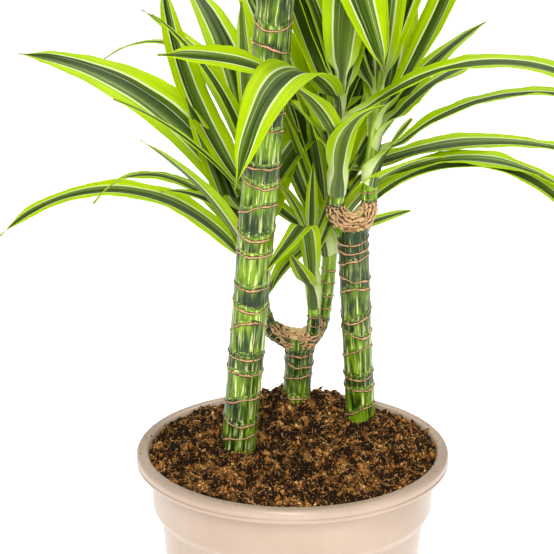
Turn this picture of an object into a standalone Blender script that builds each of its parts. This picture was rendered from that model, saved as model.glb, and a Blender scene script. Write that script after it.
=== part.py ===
"""A potted dracaena: three rooted canes of different heights in a nursery pot, each cane carrying leafy shoots.

Metres, +Z up. The origin is the centre of the pot's underside. The viewer stands at -Y, so +X is to the right.
Directions round the plant are azimuths in degrees: 0 is +X, 90 is +Y (away), 180 is -X and 270 is -Y (near).
"""

import math

import bmesh
import bpy
from mathutils import Vector

GAP = 0.0004  # left between pieces that touch

# The pot: a 24 cm nursery pot with a flat lip, a wide band below it and a tapered body.
RIM_RADIUS = 0.120
POT_HEIGHT = 0.225
WALL = 0.002
FLOOR = 0.0035
DRAIN_RADIUS = 0.005
DRAIN_RING = 0.055
DRAIN_COUNT = 5

# The soil: level at the front, heaped between the canes and towards the back.
SOIL_EDGE_Z = 0.2168
SOIL_MOUNDS = (  # x, y, height, spread
    (0.000, 0.055, 0.015, 0.048),
    (-0.070, 0.030, 0.006, 0.035),
    (0.052, 0.050, 0.007, 0.030),
)
HEAP_CENTRE = (-0.004, 0.046)
HEAP_REACH = (0.086, 0.056)
HEAP_LIMIT = 0.1020  # the heap's furthest from the pot's middle

# The canes: rooted lengths of 60, 30 and 15 cm. Each has its centre line from foot to top, and its radius.
CANES = {
    "tall": {"route": ((-0.0530, 0.010, 0.085), (-0.0365, 0.007, 0.285), (-0.0200, 0.004, 0.485),
                       (-0.0036, 0.002, 0.683)), "radius": 0.0138},
    "right": {"route": ((0.0480, 0.057, 0.120), (0.0524, 0.063, 0.168), (0.0554, 0.067, 0.206),
                        (0.0508, 0.0645, 0.295), (0.0462, 0.062, 0.384)), "radius": 0.0118},
    "rear": {"route": ((-0.0030, 0.0835, 0.150), (0.0002, 0.0835, 0.195), (0.0034, 0.083, 0.241),
                       (0.0065, 0.083, 0.287)), "radius": 0.0113},
}

# The shoots: the stem's route from inside its cane out through the bark and up to the tip, and its radius.
# "seats" is where the leafy length begins, as a share of the last stretch.
SHOOTS = {
    "rear_left": {
        "cane": "rear",
        "route": ((0.004, 0.083, 0.276), (-0.012, 0.084, 0.281), (-0.021, 0.085, 0.300),
                  (-0.0275, 0.085, 0.338), (-0.0325, 0.085, 0.446)),
        "radius": 0.0062,
    },
    "rear_tall": {
        "cane": "rear",
        "route": ((0.007, 0.084, 0.274), (0.019, 0.094, 0.283), (0.026, 0.099, 0.305),
                  (0.030, 0.100, 0.360), (0.030, 0.100, 0.446)),
        "radius": 0.0060,
    },
    "rear_front": {
        "cane": "rear",
        "route": ((0.006, 0.080, 0.272), (0.013, 0.070, 0.277), (0.016, 0.066, 0.292),
                  (0.0165, 0.066, 0.322), (0.0145, 0.066, 0.372)),
        "radius": 0.0052,
    },
    "right_left": {
        "cane": "right",
        "route": ((0.046, 0.062, 0.372), (0.034, 0.061, 0.381), (0.0315, 0.061, 0.398),
                  (0.034, 0.061, 0.418), (0.036, 0.061, 0.496)),
        "radius": 0.0068,
    },
    "right_right": {
        "cane": "right",
        "route": ((0.046, 0.063, 0.372), (0.057, 0.068, 0.382), (0.0595, 0.071, 0.400),
                  (0.060, 0.072, 0.424), (0.066, 0.073, 0.502)),
        "radius": 0.0062,
    },
    "tall_left": {
        "cane": "tall",
        "route": ((-0.005, 0.002, 0.660), (-0.022, -0.001, 0.672), (-0.029, -0.003, 0.692),
                  (-0.032, -0.004, 0.725), (-0.037, -0.006, 0.835)),
        "radius": 0.0080,
    },
    "tall_right": {
        "cane": "tall",
        "route": ((-0.004, 0.002, 0.664), (0.012, 0.008, 0.676), (0.020, 0.012, 0.697),
                  (0.024, 0.014, 0.740), (0.029, 0.017, 0.850)),
        "radius": 0.0080,
    },
}
TIP_SHARE = 0.30  # the stem's radius at its tip, as a share of its radius below

# The leaves. seat: height up the leafy stem, 0 to 1. way: azimuth. rise: angle above level at the base.
# droop: how far the rise has fallen by the tip. long, wide: millimetres. turn: change of azimuth by the tip.
# fold: where a creased leaf bends over, as a share of its length, or 0 for an even arch.
LEAF_KEYS = ("name", "seat", "way", "rise", "droop", "long", "wide", "turn", "twist", "fold")
LEAVES = {
    "rear_left": (
        ("low_short", 0.05, 149, 65, 120, 183, 21, 10, -10, 0),
        ("low_arch", 0.01, 130, 31, 76, 284, 28, 41, -29, 0),
        ("under", 0.24, 172, 58, 66, 84, 22, 4, 0, 0),
        ("broad", 0.36, 125, 41, 41, 284, 54, 36, -24, 0),
        ("spear", 0.58, 138, 41, -23, 199, 30, -26, 5, 0),
        ("back_high", 0.75, 108, 54, 89, 249, 14, 39, -4, 0),
        ("upright", 0.89, 104, 50, 34, 205, 35, 16, 12, 0),
        ("back_thin", 0.72, 98, 30, 14, 248, 26, 38, 0, 0),
    ),
    "rear_tall": (
        ("left_low", 0.02, 185, 32, -24, 80, 25, -18, -20, 0),
        ("hanging", 0.01, 207, -15, 54, 58, 15, -4, 0, 0),
        ("left_up", 0.06, 150, 59, -24, 170, 36, 1, -12, 0),
        ("right_low", 0.05, 5, 52, 131, 265, 38, -40, 2, 0),
        ("right_tip", 0.02, 30, 17, 11, 68, 18, -6, 4, 0),
        ("right_mid", 0.28, 358, 42, 102, 238, 28, -14, 7, 0),
        ("near_up", 0.30, 213, 82, 6, 94, 24, 0, 0, 0),
        ("right_level", 0.59, 9, 22, 50, 238, 33, -5, 12, 0),
        ("away", 0.80, 84, 52, 80, 240, 40, 12, 0, 0),
    ),
    "rear_front": (
        ("sheath", 0.12, 256, 44, -6, 62, 17, -18, 0, 0),
        ("arch", 0.29, 264, 73, 97, 135, 19, -28, 5, 0.45),
        ("under_arch", 0.44, 220, 89, 160, 78, 14, -44, 7, 0.45),
        ("side", 0.64, 31, 74, 60, 90, 14, 23, 2, 0),
        ("near", 0.90, 150, 72, 40, 70, 18, 0, 14, 0),
    ),
    "right_left": (
        ("low_sheath", 0.04, 272, 79, 64, 94, 24, 56, 0, 0),
        ("over_cane", 0.79, 250, 35, 81, 277, 36, 8, -36, 0),
        ("across_cane", 0.40, 255, 41, 37, 252, 34, -35, -51, 0),
        ("left_wavy", 0.14, 212, 79, 48, 68, 21, -5, -5, 0),
        ("long_right", 0.58, 352, 42, 105, 273, 38, -5, 13, 0),
        ("bent_over", 1.00, 278, 84, 137, 164, 38, 18, 4, 0.5),
        ("left_high", 0.92, 179, 68, -8, 189, 34, -29, -4, 0),
        ("back_left", 0.76, 137, 58, -16, 190, 34, -7, -3, 0),
    ),
    "right_right": (
        ("low_sheath", 0.03, 312, 65, 17, 52, 14, 42, 26, 0),
        ("right_far", 0.12, 12, 40, 78, 226, 29, -23, 2, 0),
        ("right_arch", 0.37, 16, 51, 45, 102, 34, 13, 5, 0),
        ("right_up", 0.56, 24, 54, -22, 201, 35, 12, -1, 0),
        ("broad_up", 0.48, 74, 46, 19, 213, 46, 26, 13, 0),
        ("back", 0.74, 128, 60, 66, 214, 35, 8, 7, 0),
        ("back_right", 0.88, 50, 70, 47, 200, 34, 6, 0, 0),
    ),
    "tall_left": (
        ("one", 0.10, 200, 44, 70, 270, 42, 4, 0, 0),
        ("two", 0.24, 292, 50, 78, 270, 44, -4, 0, 0),
        ("three", 0.38, 120, 54, 80, 275, 44, 6, 0, 0),
        ("four", 0.56, 236, 60, 76, 280, 44, 0, 0, 0),
        ("five", 0.74, 165, 66, 70, 270, 42, 0, 0, 0),
    ),
    "tall_right": (
        ("one", 0.10, 352, 44, 72, 275, 44, -4, 0, 0),
        ("two", 0.24, 84, 50, 78, 270, 42, 4, 0, 0),
        ("three", 0.40, 312, 54, 80, 280, 44, 4, 0, 0),
        ("four", 0.56, 30, 60, 76, 280, 44, 0, 0, 0),
        ("five", 0.74, 270, 66, 70, 265, 42, 0, 0, 0),
    ),
}
LEAF_THICKNESS = 0.0012
LEAF_STRETCHES = 10  # faces along a leaf
SEAT_CLEARANCE = 0.0020  # from the stem's surface to a leaf's midrib at its base

COLOURS = {
    "pot": ((0.62, 0.49, 0.42), 0.45),
    "soil": ((0.055, 0.030, 0.016), 0.95),
    "cane": ((0.10, 0.22, 0.03), 0.40),
    "shoot": ((0.18, 0.36, 0.05), 0.40),
    "leaf": ((0.30, 0.55, 0.03), 0.45),
}


def clear_scene():
    for old in list(bpy.data.objects):
        bpy.data.objects.remove(old, do_unlink=True)


def new_collection(name, shown=True):
    made = bpy.data.collections.new(name)
    bpy.context.scene.collection.children.link(made)
    made.hide_render = not shown
    return made


def material(name):
    colour, roughness = COLOURS[name]
    made = bpy.data.materials.get(name) or bpy.data.materials.new(name)
    made.use_nodes = True
    shader = made.node_tree.nodes["Principled BSDF"]
    shader.inputs["Base Color"].default_value = (*colour, 1)
    shader.inputs["Roughness"].default_value = roughness
    return made


def add_object(name, data, collection, finish=None):
    made = bpy.data.objects.new(name, data)
    collection.objects.link(made)
    if finish:
        made.data.materials.append(material(finish))
    return made


def as_cutter(made):
    made.hide_render = True
    made.display_type = "WIRE"
    return made


def cut(target, cutter):
    modifier = target.modifiers.new("Cut by " + cutter.name, "BOOLEAN")
    modifier.operation = "DIFFERENCE"
    modifier.solver = "EXACT"
    modifier.object = cutter


def turned(name, profile, steps, collection, finish):
    """A profile of (radius, z) points, turned about Z."""
    mesh = bpy.data.meshes.new(name)
    mesh.from_pydata([(r, 0, z) for r, z in profile], [(i, i + 1) for i in range(len(profile) - 1)], [])
    made = add_object(name, mesh, collection, finish)
    screw = made.modifiers.new("Turn", "SCREW")
    screw.steps = screw.render_steps = steps
    screw.use_merge_vertices = True
    screw.merge_threshold = 0.0001
    screw.use_smooth_shade = True
    return made


def bored_through(name, collection, radius, depth, place):
    """A round cutter standing along Z, centred on place."""
    shape = bmesh.new()
    bmesh.ops.create_cone(shape, cap_ends=True, segments=16, radius1=radius, radius2=radius, depth=depth)
    mesh = bpy.data.meshes.new(name)
    shape.to_mesh(mesh)
    shape.free()
    made = as_cutter(add_object(name, mesh, collection))
    made.location = place
    return made


def pot_wall():
    """The outside from the lip down to the base, as (radius, z)."""
    top = POT_HEIGHT
    return [
        (RIM_RADIUS - 0.0025, top),
        (RIM_RADIUS, top - 0.0022),
        (RIM_RADIUS, top - 0.0092),
        (RIM_RADIUS - 0.0018, top - 0.0108),
        (RIM_RADIUS - 0.0106, top - 0.0111),
        (RIM_RADIUS - 0.0112, top - 0.0135),
        (RIM_RADIUS - 0.0122, top - 0.0468),
        (RIM_RADIUS - 0.0176, top - 0.0514),
        (RIM_RADIUS - 0.0184, top - 0.0550),
        (0.0885, 0.0040),
        (0.0865, 0.0000),
    ]


def pot_inside():
    """The inside from the floor up to the lip, as (radius, z)."""
    top = POT_HEIGHT
    return [
        (0.0840, FLOOR),
        (0.0862, FLOOR + 0.0030),
        (RIM_RADIUS - 0.0184 - WALL, top - 0.0550),
        (RIM_RADIUS - 0.0176 - WALL, top - 0.0521),
        (RIM_RADIUS - 0.0122 - WALL, top - 0.0475),
        (RIM_RADIUS - 0.0112 - WALL, top - 0.0140),
        (RIM_RADIUS - 0.0095, top - 0.0020),
        (RIM_RADIUS - 0.0082, top),
    ]


def make_pot(parts, cutters):
    profile = [(0, FLOOR), *pot_inside(), *pot_wall(), (0, 0)]
    pot = turned("pot", profile, 48, parts, "pot")
    for i in range(DRAIN_COUNT):
        angle = math.tau * i / DRAIN_COUNT + math.radians(18)
        place = (DRAIN_RING * math.cos(angle), DRAIN_RING * math.sin(angle), FLOOR / 2)
        cut(pot, bored_through(f"drain_{i}", cutters, DRAIN_RADIUS, 4 * FLOOR, place))
    return pot


def soil_height(x, y):
    """How high the soil is heaped above SOIL_EDGE_Z, falling to nothing at the pot's wall."""
    edge = min(1.0, (0.1035 - math.hypot(x, y)) / 0.020)
    heaped = sum(h * math.exp(-((x - cx) ** 2 + (y - cy) ** 2) / (2 * s * s)) for cx, cy, h, s in SOIL_MOUNDS)
    return max(0.0, edge) * (0.002 + heaped)


def make_soil(parts):
    """The level bed that fills the pot, and the heap that lies on it between the canes."""
    inside = pot_inside()
    (low, low_z), (high, high_z) = inside[-3:-1]  # the funnel under the lip, which the soil reaches into
    edge = low + (high - low) * (SOIL_EDGE_Z - low_z) / (high_z - low_z)
    side = [(r - GAP, z) for r, z in ((edge, SOIL_EDGE_Z), *reversed(inside[1:-2]))]
    foot = [(inside[0][0] - GAP, FLOOR + GAP), (0, FLOOR + GAP)]
    bed = turned("soil", [(0, SOIL_EDGE_Z), *side, *foot], 32, parts, "soil")
    return [bed, make_heap(parts)]


def make_heap(parts):
    (cx, cy), (wide, deep) = HEAP_CENTRE, HEAP_REACH
    corners, shares = 28, (0.3, 0.55, 0.78, 1.0)
    foot = SOIL_EDGE_Z + GAP
    points, faces = [(cx, cy, SOIL_EDGE_Z + soil_height(cx, cy))], []
    for share in shares:
        for i in range(corners):
            turn = 2 * math.pi * i / corners
            x, y = cx + wide * share * math.cos(turn), cy + deep * share * math.sin(turn)
            held = min(1.0, HEAP_LIMIT / math.hypot(x, y))
            x, y = x * held, y * held
            points.append((x, y, SOIL_EDGE_Z + max(0.0016, soil_height(x, y) * (1 - share**4))))
    points += [(x, y, foot) for x, y, _ in points[-corners:]]
    for i in range(corners):
        after = (i + 1) % corners
        faces.append((0, 1 + i, 1 + after))
        for ring in range(len(shares)):
            low, high = 1 + ring * corners, 1 + (ring + 1) * corners
            faces.append((low + i, high + i, high + after, low + after))
    faces.append(tuple(reversed(range(len(points) - corners, len(points)))))
    mesh = bpy.data.meshes.new("soil_heap")
    mesh.from_pydata(points, [], faces)
    return add_object("soil_heap", mesh, parts)


def tube(name, route, radii, sides, collection, finish=None):
    """A round stem through the route's points, as a mesh with its caps welded on."""
    curve = bpy.data.curves.new(name + "_line", "CURVE")
    curve.dimensions = "3D"
    curve.bevel_depth = 1.0
    curve.bevel_resolution = (sides - 4) // 2
    curve.use_fill_caps = True
    line = curve.splines.new("POLY")
    line.points.add(len(route) - 1)
    for point, place, radius in zip(line.points, route, radii):
        point.co = (*place, 1)
        point.radius = radius
    guide = bpy.data.objects.new(name + "_line", curve)
    collection.objects.link(guide)
    graph = bpy.context.evaluated_depsgraph_get()
    mesh = bpy.data.meshes.new_from_object(guide.evaluated_get(graph))
    bpy.data.objects.remove(guide)
    shape = bmesh.new()
    shape.from_mesh(mesh)
    bmesh.ops.remove_doubles(shape, verts=shape.verts, dist=1e-6)
    shape.to_mesh(mesh)
    shape.free()
    mesh.name = name
    made = add_object(name, mesh, collection, finish)
    mesh.shade_smooth()
    mesh.set_sharp_from_angle(angle=math.radians(50))
    return made


def smooth_route(points, steps):
    """Points along a smooth curve through the given ones, steps to a stretch."""
    points = [Vector(p) for p in points]
    ends = [2 * points[0] - points[1], *points, 2 * points[-1] - points[-2]]
    route = []
    for a, b, c, d in zip(ends, ends[1:], ends[2:], ends[3:]):
        for i in range(steps):
            t = i / steps
            route.append(
                0.5 * (2 * b + (c - a) * t + (2 * a - 5 * b + 4 * c - d) * t**2 + (3 * b - a - 3 * c + d) * t**3)
            )
    return [*route, points[-1]]


def make_canes(parts, cutters, soil):
    moulds = {}
    for name, cane in CANES.items():
        route = cane["route"]
        radii = [cane["radius"] * (0.97 + 0.05 * i / (len(route) - 1)) for i in range(len(route))]
        tube(f"cane_{name}", route, radii, 14, parts, "cane")
        mould = tube(f"mould_{name}", route, [r + GAP + 0.0006 for r in radii], 14, cutters)
        for body in soil:
            cut(body, as_cutter(mould))
        moulds[name] = mould
    return moulds


def stem_radius(shoot, share):
    """The stem's radius at a share of its leafy length."""
    return shoot["radius"] * (1 - (1 - TIP_SHARE) * share)


def make_shoot(name, parts, moulds):
    shoot = SHOOTS[name]
    route = smooth_route(shoot["route"], 3)
    leafy = len(route) - 4  # the index where the last stretch begins
    radii = []
    for i in range(len(route)):
        collar = 1.0 + 0.35 * max(0.0, 1 - i / 5)
        radii.append(shoot["radius"] * collar if i < leafy else stem_radius(shoot, (i - leafy) / 3))
    made = tube(f"shoot_{name}", route, radii, 10, parts, "shoot")
    cut(made, moulds[shoot["cane"]])


def leaf_path(shoot, leaf, stretches):
    """Points and directions along a leaf's midrib, as (place, along, across, upper side)."""
    foot, tip = Vector(shoot["route"][-2]), Vector(shoot["route"][-1])
    way, rise, droop = (math.radians(leaf[key]) for key in ("way", "rise", "droop"))
    turn, twist = math.radians(leaf["turn"]), math.radians(leaf["twist"])
    out = stem_radius(shoot, leaf["seat"]) + SEAT_CLEARANCE
    place = foot.lerp(tip, leaf["seat"]) + out * Vector((math.cos(way), math.sin(way), 0))
    fine = 8 * stretches
    path = []
    for i in range(fine + 1):
        share = i / fine
        bent = share**1.25
        if leaf["fold"]:
            t = min(1.0, max(0.0, (share - leaf["fold"] + 0.13) / 0.26))
            bent = 0.25 * share + 0.75 * (3 * t * t - 2 * t**3)
        angle, azimuth = rise - droop * bent, way + turn * share
        level = Vector((math.cos(azimuth), math.sin(azimuth), 0))
        along = math.cos(angle) * level + Vector((0, 0, math.sin(angle)))
        across = Vector((-math.sin(azimuth), math.cos(azimuth), 0))
        upper = along.cross(across)
        turned_by = twist * share
        across, upper = (
            math.cos(turned_by) * across + math.sin(turned_by) * upper,
            math.cos(turned_by) * upper - math.sin(turned_by) * across,
        )
        if i % 8 == 0:
            path.append((place.copy(), along, across, upper))
        place += along * (leaf["long"] / 1000 / fine)
    return path


def blade_width(share):
    """Half the blade's width at a share of its length, where 1 is the widest."""
    return 0.30 * (1 - share) ** 3 + 0.05 * share + math.sin(math.pi * share**0.85) ** 0.85


def make_leaf(shoot_name, leaf, parts):
    """A strip of faces laid along the midrib, folded into a shallow channel and given its thickness."""
    path = leaf_path(SHOOTS[shoot_name], leaf, LEAF_STRETCHES)
    shape = bmesh.new()
    bmesh.ops.create_grid(shape, x_segments=LEAF_STRETCHES, y_segments=2, size=1)
    for point in shape.verts:
        step, side = round((point.co.x + 1) / 2 * LEAF_STRETCHES), round(point.co.y)
        share = step / LEAF_STRETCHES
        place, _, across, upper = path[step]
        half = leaf["wide"] / 2000 * blade_width(share)
        channel = math.radians(12 + 26 * (1 - share) ** 2)
        point.co = place + half * (side * math.cos(channel) * across + abs(side) * math.sin(channel) * upper)
    name = f"leaf_{shoot_name}_{leaf['name']}"
    mesh = bpy.data.meshes.new(name)
    shape.to_mesh(mesh)
    shape.free()
    made = add_object(name, mesh, parts, "leaf")
    solidify = made.modifiers.new("Thickness", "SOLIDIFY")
    solidify.thickness = LEAF_THICKNESS
    solidify.offset = 0
    mesh.shade_smooth()
    return made


def main():
    clear_scene()
    parts = new_collection("potted_dracaena")
    cutters = new_collection("cutters", shown=False)
    make_pot(parts, cutters)
    soil = make_soil(parts)
    moulds = make_canes(parts, cutters, soil)
    for name in SHOOTS:
        make_shoot(name, parts, moulds)
        for row in LEAVES[name]:
            make_leaf(name, dict(zip(LEAF_KEYS, row)), parts)


main()
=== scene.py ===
# A potted dracaena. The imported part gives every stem, leaf and wall its place;
# this script gives them their looks.
import math
import random

import bmesh
import bpy
import numpy as np
from mathutils import Matrix, Vector, noise


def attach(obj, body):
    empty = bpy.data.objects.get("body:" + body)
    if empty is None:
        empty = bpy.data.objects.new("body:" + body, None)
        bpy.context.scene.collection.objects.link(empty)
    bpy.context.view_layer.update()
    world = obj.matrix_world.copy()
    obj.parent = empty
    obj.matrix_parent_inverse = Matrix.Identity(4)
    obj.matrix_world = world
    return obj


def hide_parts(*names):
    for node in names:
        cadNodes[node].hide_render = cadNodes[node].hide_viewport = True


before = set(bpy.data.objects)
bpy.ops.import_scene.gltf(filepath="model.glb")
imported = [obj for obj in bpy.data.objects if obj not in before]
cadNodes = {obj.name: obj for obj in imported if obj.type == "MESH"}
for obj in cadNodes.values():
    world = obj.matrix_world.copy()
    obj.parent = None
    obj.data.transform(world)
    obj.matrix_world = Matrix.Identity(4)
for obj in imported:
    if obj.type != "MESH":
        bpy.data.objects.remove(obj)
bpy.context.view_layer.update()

print("frame loaded:", len(cadNodes), "nodes")


def pick(sockets, name):
    if isinstance(name, int):
        return sockets[name]
    return next(s for s in sockets if s.name == name and s.enabled)


def isVector(value):
    return value.isVector if isinstance(value, Wire) else isinstance(value, (tuple, Vector))


class Wire:
    # A socket that can stand in a Python sum: numbers use Math nodes, vectors use Vector Math nodes.
    def __init__(self, tree, node, socket):
        self.tree, self.maker, self.socket = tree, node, socket
        self.isVector = socket.type in ("VECTOR", "RGBA")

    def __getitem__(self, name):
        return Wire(self.tree, self.maker, pick(self.maker.outputs, name))

    def work(self, operation, *operands):
        vectors = any(isVector(o) for o in operands)
        if vectors and operation == "MULTIPLY":
            first, second = operands
            if not isVector(first):
                first, second = second, first
            if not isVector(second):
                scaled = {0: first, "Scale": second}
                return self.tree.node("ShaderNodeVectorMath", {"operation": "SCALE"}, scaled)
            operands = first, second
        kind = "ShaderNodeVectorMath" if vectors else "ShaderNodeMath"
        return self.tree.node(kind, {"operation": operation}, dict(enumerate(operands)))

    def __add__(self, other):
        return self.work("ADD", self, other)

    def __radd__(self, other):
        return self.work("ADD", other, self)

    def __sub__(self, other):
        return self.work("SUBTRACT", self, other)

    def __rsub__(self, other):
        return self.work("SUBTRACT", other, self)

    def __mul__(self, other):
        return self.work("MULTIPLY", self, other)

    def __rmul__(self, other):
        return self.work("MULTIPLY", other, self)

    def __pow__(self, other):
        return self.work("POWER", self, other)

    def __neg__(self):
        return self.work("MULTIPLY", self, -1.0)

    def __abs__(self):
        return self.work("ABSOLUTE", self)

    def sin(self):
        return self.work("SINE", self)

    def cos(self):
        return self.work("COSINE", self)

    def least(self, other):
        return self.work("MINIMUM", self, other)

    def most(self, other):
        return self.work("MAXIMUM", self, other)


class Tree:
    # A node tree being wired: a material's or a geometry group's.
    def __init__(self, nodeTree):
        self.nodeTree = nodeTree

    def node(self, kind, settings=None, sockets=None):
        made = self.nodeTree.nodes.new(kind)
        for name, value in (settings or {}).items():
            setattr(made, name, value)
        for name, value in (sockets or {}).items():
            socket = pick(made.inputs, name)
            for each in value if isinstance(value, list) else [value]:
                if isinstance(each, Wire):
                    self.nodeTree.links.new(each.socket, socket)
                elif socket.type == "RGBA" and len(each) == 3:
                    socket.default_value = (*each, 1)
                else:
                    socket.default_value = each
        shown = [s for s in made.outputs if s.enabled]
        return Wire(self, made, shown[0]) if shown else made

    def step(self, value, low, high):
        # 0 below low, 1 above high, smooth between
        return self.node(
            "ShaderNodeMapRange",
            {"interpolation_type": "SMOOTHSTEP"},
            {"Value": value, "From Min": low, "From Max": high},
        )

    def mix(self, factor, first, second, blend="MIX"):
        return self.node(
            "ShaderNodeMix",
            {"data_type": "RGBA", "blend_type": blend, "clamp_factor": True},
            {"Factor": factor, "A": first, "B": second},
        )["Result"]

    def noise(self, place, scale, detail=2.0, roughness=0.5):
        made = {"Vector": place, "Scale": scale, "Detail": detail, "Roughness": roughness}
        return self.node("ShaderNodeTexNoise", {}, made)

    def stretched(self, place, scale):
        return self.node("ShaderNodeMapping", {}, {"Vector": place, "Scale": scale})

    def store(self, geometry, name, value, domain="POINT", kind="FLOAT"):
        settings = {"data_type": kind, "domain": domain}
        labelled = {"Geometry": geometry, "Name": name, "Value": value}
        return self.node("GeometryNodeStoreNamedAttribute", settings, labelled)

    def chance(self, low, high, seed, kind="FLOAT"):
        span = {"Min": low, "Max": high, "Seed": seed}
        return self.node("FunctionNodeRandomValue", {"data_type": kind}, span)["Value"]

    def attribute(self, name, output="Fac"):
        return self.node("ShaderNodeAttribute", {"attribute_name": name})[output]

    def join(self, x, y, z):
        return self.node("ShaderNodeCombineXYZ", {}, {"X": x, "Y": y, "Z": z})

    def finish(self, sockets, bump=None, bumpDepth=0.001, strength=1.0):
        # the Principled shader, with its bump
        if bump is not None:
            sockets["Normal"] = self.node(
                "ShaderNodeBump", {}, {"Height": bump, "Distance": bumpDepth, "Strength": strength}
            )
        return self.node("ShaderNodeBsdfPrincipled", {}, sockets)["BSDF"]

    def output(self, shader):
        self.node("ShaderNodeOutputMaterial", {}, {"Surface": shader})


def newMaterial(name):
    made = bpy.data.materials.new(name)
    made.use_nodes = True
    made.node_tree.nodes.clear()
    return made, Tree(made.node_tree)


def linear(red, green, blue):
    # a colour as a screen shows it, 0 to 255, to the value a shader takes
    shares = (red / 255, green / 255, blue / 255)
    return tuple(v / 12.92 if v <= 0.04045 else ((v + 0.055) / 1.055) ** 2.4 for v in shares)


def groupTree(name, inputs):
    # a geometry group with named inputs; returns its tree and the wires of its inputs
    group = bpy.data.node_groups.new(name, "GeometryNodeTree")
    group.interface.new_socket("Geometry", in_out="INPUT", socket_type="NodeSocketGeometry")
    for label, (kind, value) in inputs.items():
        socket = group.interface.new_socket(label, in_out="INPUT", socket_type="NodeSocket" + kind)
        if value is not None:
            socket.default_value = value
    group.interface.new_socket("Geometry", in_out="OUTPUT", socket_type="NodeSocketGeometry")
    tree = Tree(group)
    return tree, tree.node("NodeGroupInput")


def closeGroup(tree, geometry, material):
    real = tree.node("GeometryNodeRealizeInstances", {}, {"Geometry": geometry})
    done = tree.node("GeometryNodeSetMaterial", {}, {"Geometry": real, "Material": material})
    tree.node("NodeGroupOutput", {}, {"Geometry": done})


def grown(name, mesh, tree, values):
    # runs a geometry group on a mesh and returns what it makes, as a plain mesh
    carrier = bpy.data.objects.new(name + "Carrier", mesh)
    bpy.context.scene.collection.objects.link(carrier)
    modifier = carrier.modifiers.new("Grow", "NODES")
    modifier.node_group = tree.nodeTree
    for item in tree.nodeTree.interface.items_tree:
        if item.in_out == "INPUT" and item.name in values:
            modifier[item.identifier] = values[item.name]
    made = settled(carrier)
    made.name = name
    return made


def addPiece(name, mesh, replaced=(), sharp=None):
    piece = bpy.data.objects.new(name, mesh)
    bpy.context.scene.collection.objects.link(piece)
    mesh.shade_smooth()
    if sharp:
        mesh.set_sharp_from_angle(angle=math.radians(sharp))
    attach(piece, "root")
    if replaced:
        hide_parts(*replaced)
    return piece


def meshOf(name, points, faces, material=None, attributes=None):
    mesh = bpy.data.meshes.new(name)
    mesh.from_pydata([tuple(p) for p in points], [], faces)
    for label, values in (attributes or {}).items():
        kind, field = ("FLOAT_VECTOR", "vector") if np.ndim(values) == 2 else ("FLOAT", "value")
        made = mesh.attributes.new(label, kind, "POINT")
        made.data.foreach_set(field, np.asarray(values, np.float32).ravel())
    if material:
        mesh.materials.append(material)
    return mesh


def ringPoints(reach, height, columns):
    turns = [2 * math.pi * j / columns for j in range(columns)]
    return [(reach * math.cos(turn), reach * math.sin(turn), height) for turn in turns]


def turnedFaces(points, columns):
    # the faces of a turned solid: its first point and its last are on the axis, the rest are rings
    rows = (len(points) - 2) // columns
    last = 1 + (rows - 1) * columns
    faces = []
    for j in range(columns):
        k = (j + 1) % columns
        faces.append((0, 1 + j, 1 + k))
        for i in range(rows - 1):
            low, high = 1 + i * columns, 1 + (i + 1) * columns
            faces.append((low + j, high + j, high + k, low + k))
        faces.append((last + j, len(points) - 1, last + k))
    return faces


def settled(thing):
    # an object's mesh with its modifiers applied; the object itself is removed
    graph = bpy.context.evaluated_depsgraph_get()
    mesh = bpy.data.meshes.new_from_object(thing.evaluated_get(graph))
    bpy.data.objects.remove(thing)
    return mesh


def runAlong(line):
    # metres along a line, from its start to each point
    return np.concatenate([[0], np.cumsum(np.linalg.norm(np.diff(line, axis=0), axis=1))])


def welded(node):
    # a CAD node's points and what each is joined to
    shape = bmesh.new()
    shape.from_mesh(cadNodes[node].data)
    bmesh.ops.remove_doubles(shape, verts=shape.verts, dist=0.00002)
    shape.verts.index_update()
    points = np.array([v.co for v in shape.verts])
    joined = [[e.other_vert(v).index for e in v.link_edges] for v in shape.verts]
    shape.free()
    return points, joined


def loopsFrom(points, joined, start, count):
    # walks along a swept solid from one end: the rings of points it passes, count to a ring
    ring = sorted(range(len(points)), key=lambda i: np.linalg.norm(points[i] - points[start]))[:count]
    seen, loops = set(ring), []
    while len(ring) == count:
        loops.append(points[ring])
        ring = sorted({j for i in ring for j in joined[i]} - seen)
        seen.update(ring)
    return loops


def through(values, shares, wanted):
    # a smooth curve through the values, read at the wanted shares
    values = np.asarray(values, float)
    slopes = np.gradient(values, shares, axis=0)
    spans = np.clip(np.searchsorted(shares, wanted, side="right") - 1, 0, len(shares) - 2)
    width = shares[spans + 1] - shares[spans]
    t = (wanted - shares[spans]) / width
    shape = (-1,) + (1,) * (values.ndim - 1)
    t, width = t.reshape(shape), width.reshape(shape)
    return (
        (2 * t**3 - 3 * t**2 + 1) * values[spans]
        + (t**3 - 2 * t**2 + t) * width * slopes[spans]
        + (3 * t**2 - 2 * t**3) * values[spans + 1]
        + (t**3 - t**2) * width * slopes[spans + 1]
    )


def unit(vectors):
    return vectors / (np.linalg.norm(vectors, axis=-1, keepdims=True) + 1e-12)


def smooth(value, low, high):
    t = np.clip((value - low) / (high - low), 0, 1)
    return t * t * (3 - 2 * t)


studio = {
    "cameraPlace": (0.0, -1.2905, 0.7677),
    "cameraTurn": (72.52, 0.0, 0.53),  # degrees
    "lens": 117.5,
    "skyStrength": 0.36,
    "floorGlow": 0.70,
}


def makeCamera():
    data = bpy.data.cameras.new("camera")
    data.lens = studio["lens"]
    data.sensor_width = 36
    data.clip_end = 50
    camera = bpy.data.objects.new("camera", data)
    camera.location = studio["cameraPlace"]
    camera.rotation_euler = [math.radians(a) for a in studio["cameraTurn"]]
    bpy.context.scene.collection.objects.link(camera)
    bpy.context.scene.camera = camera


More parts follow.
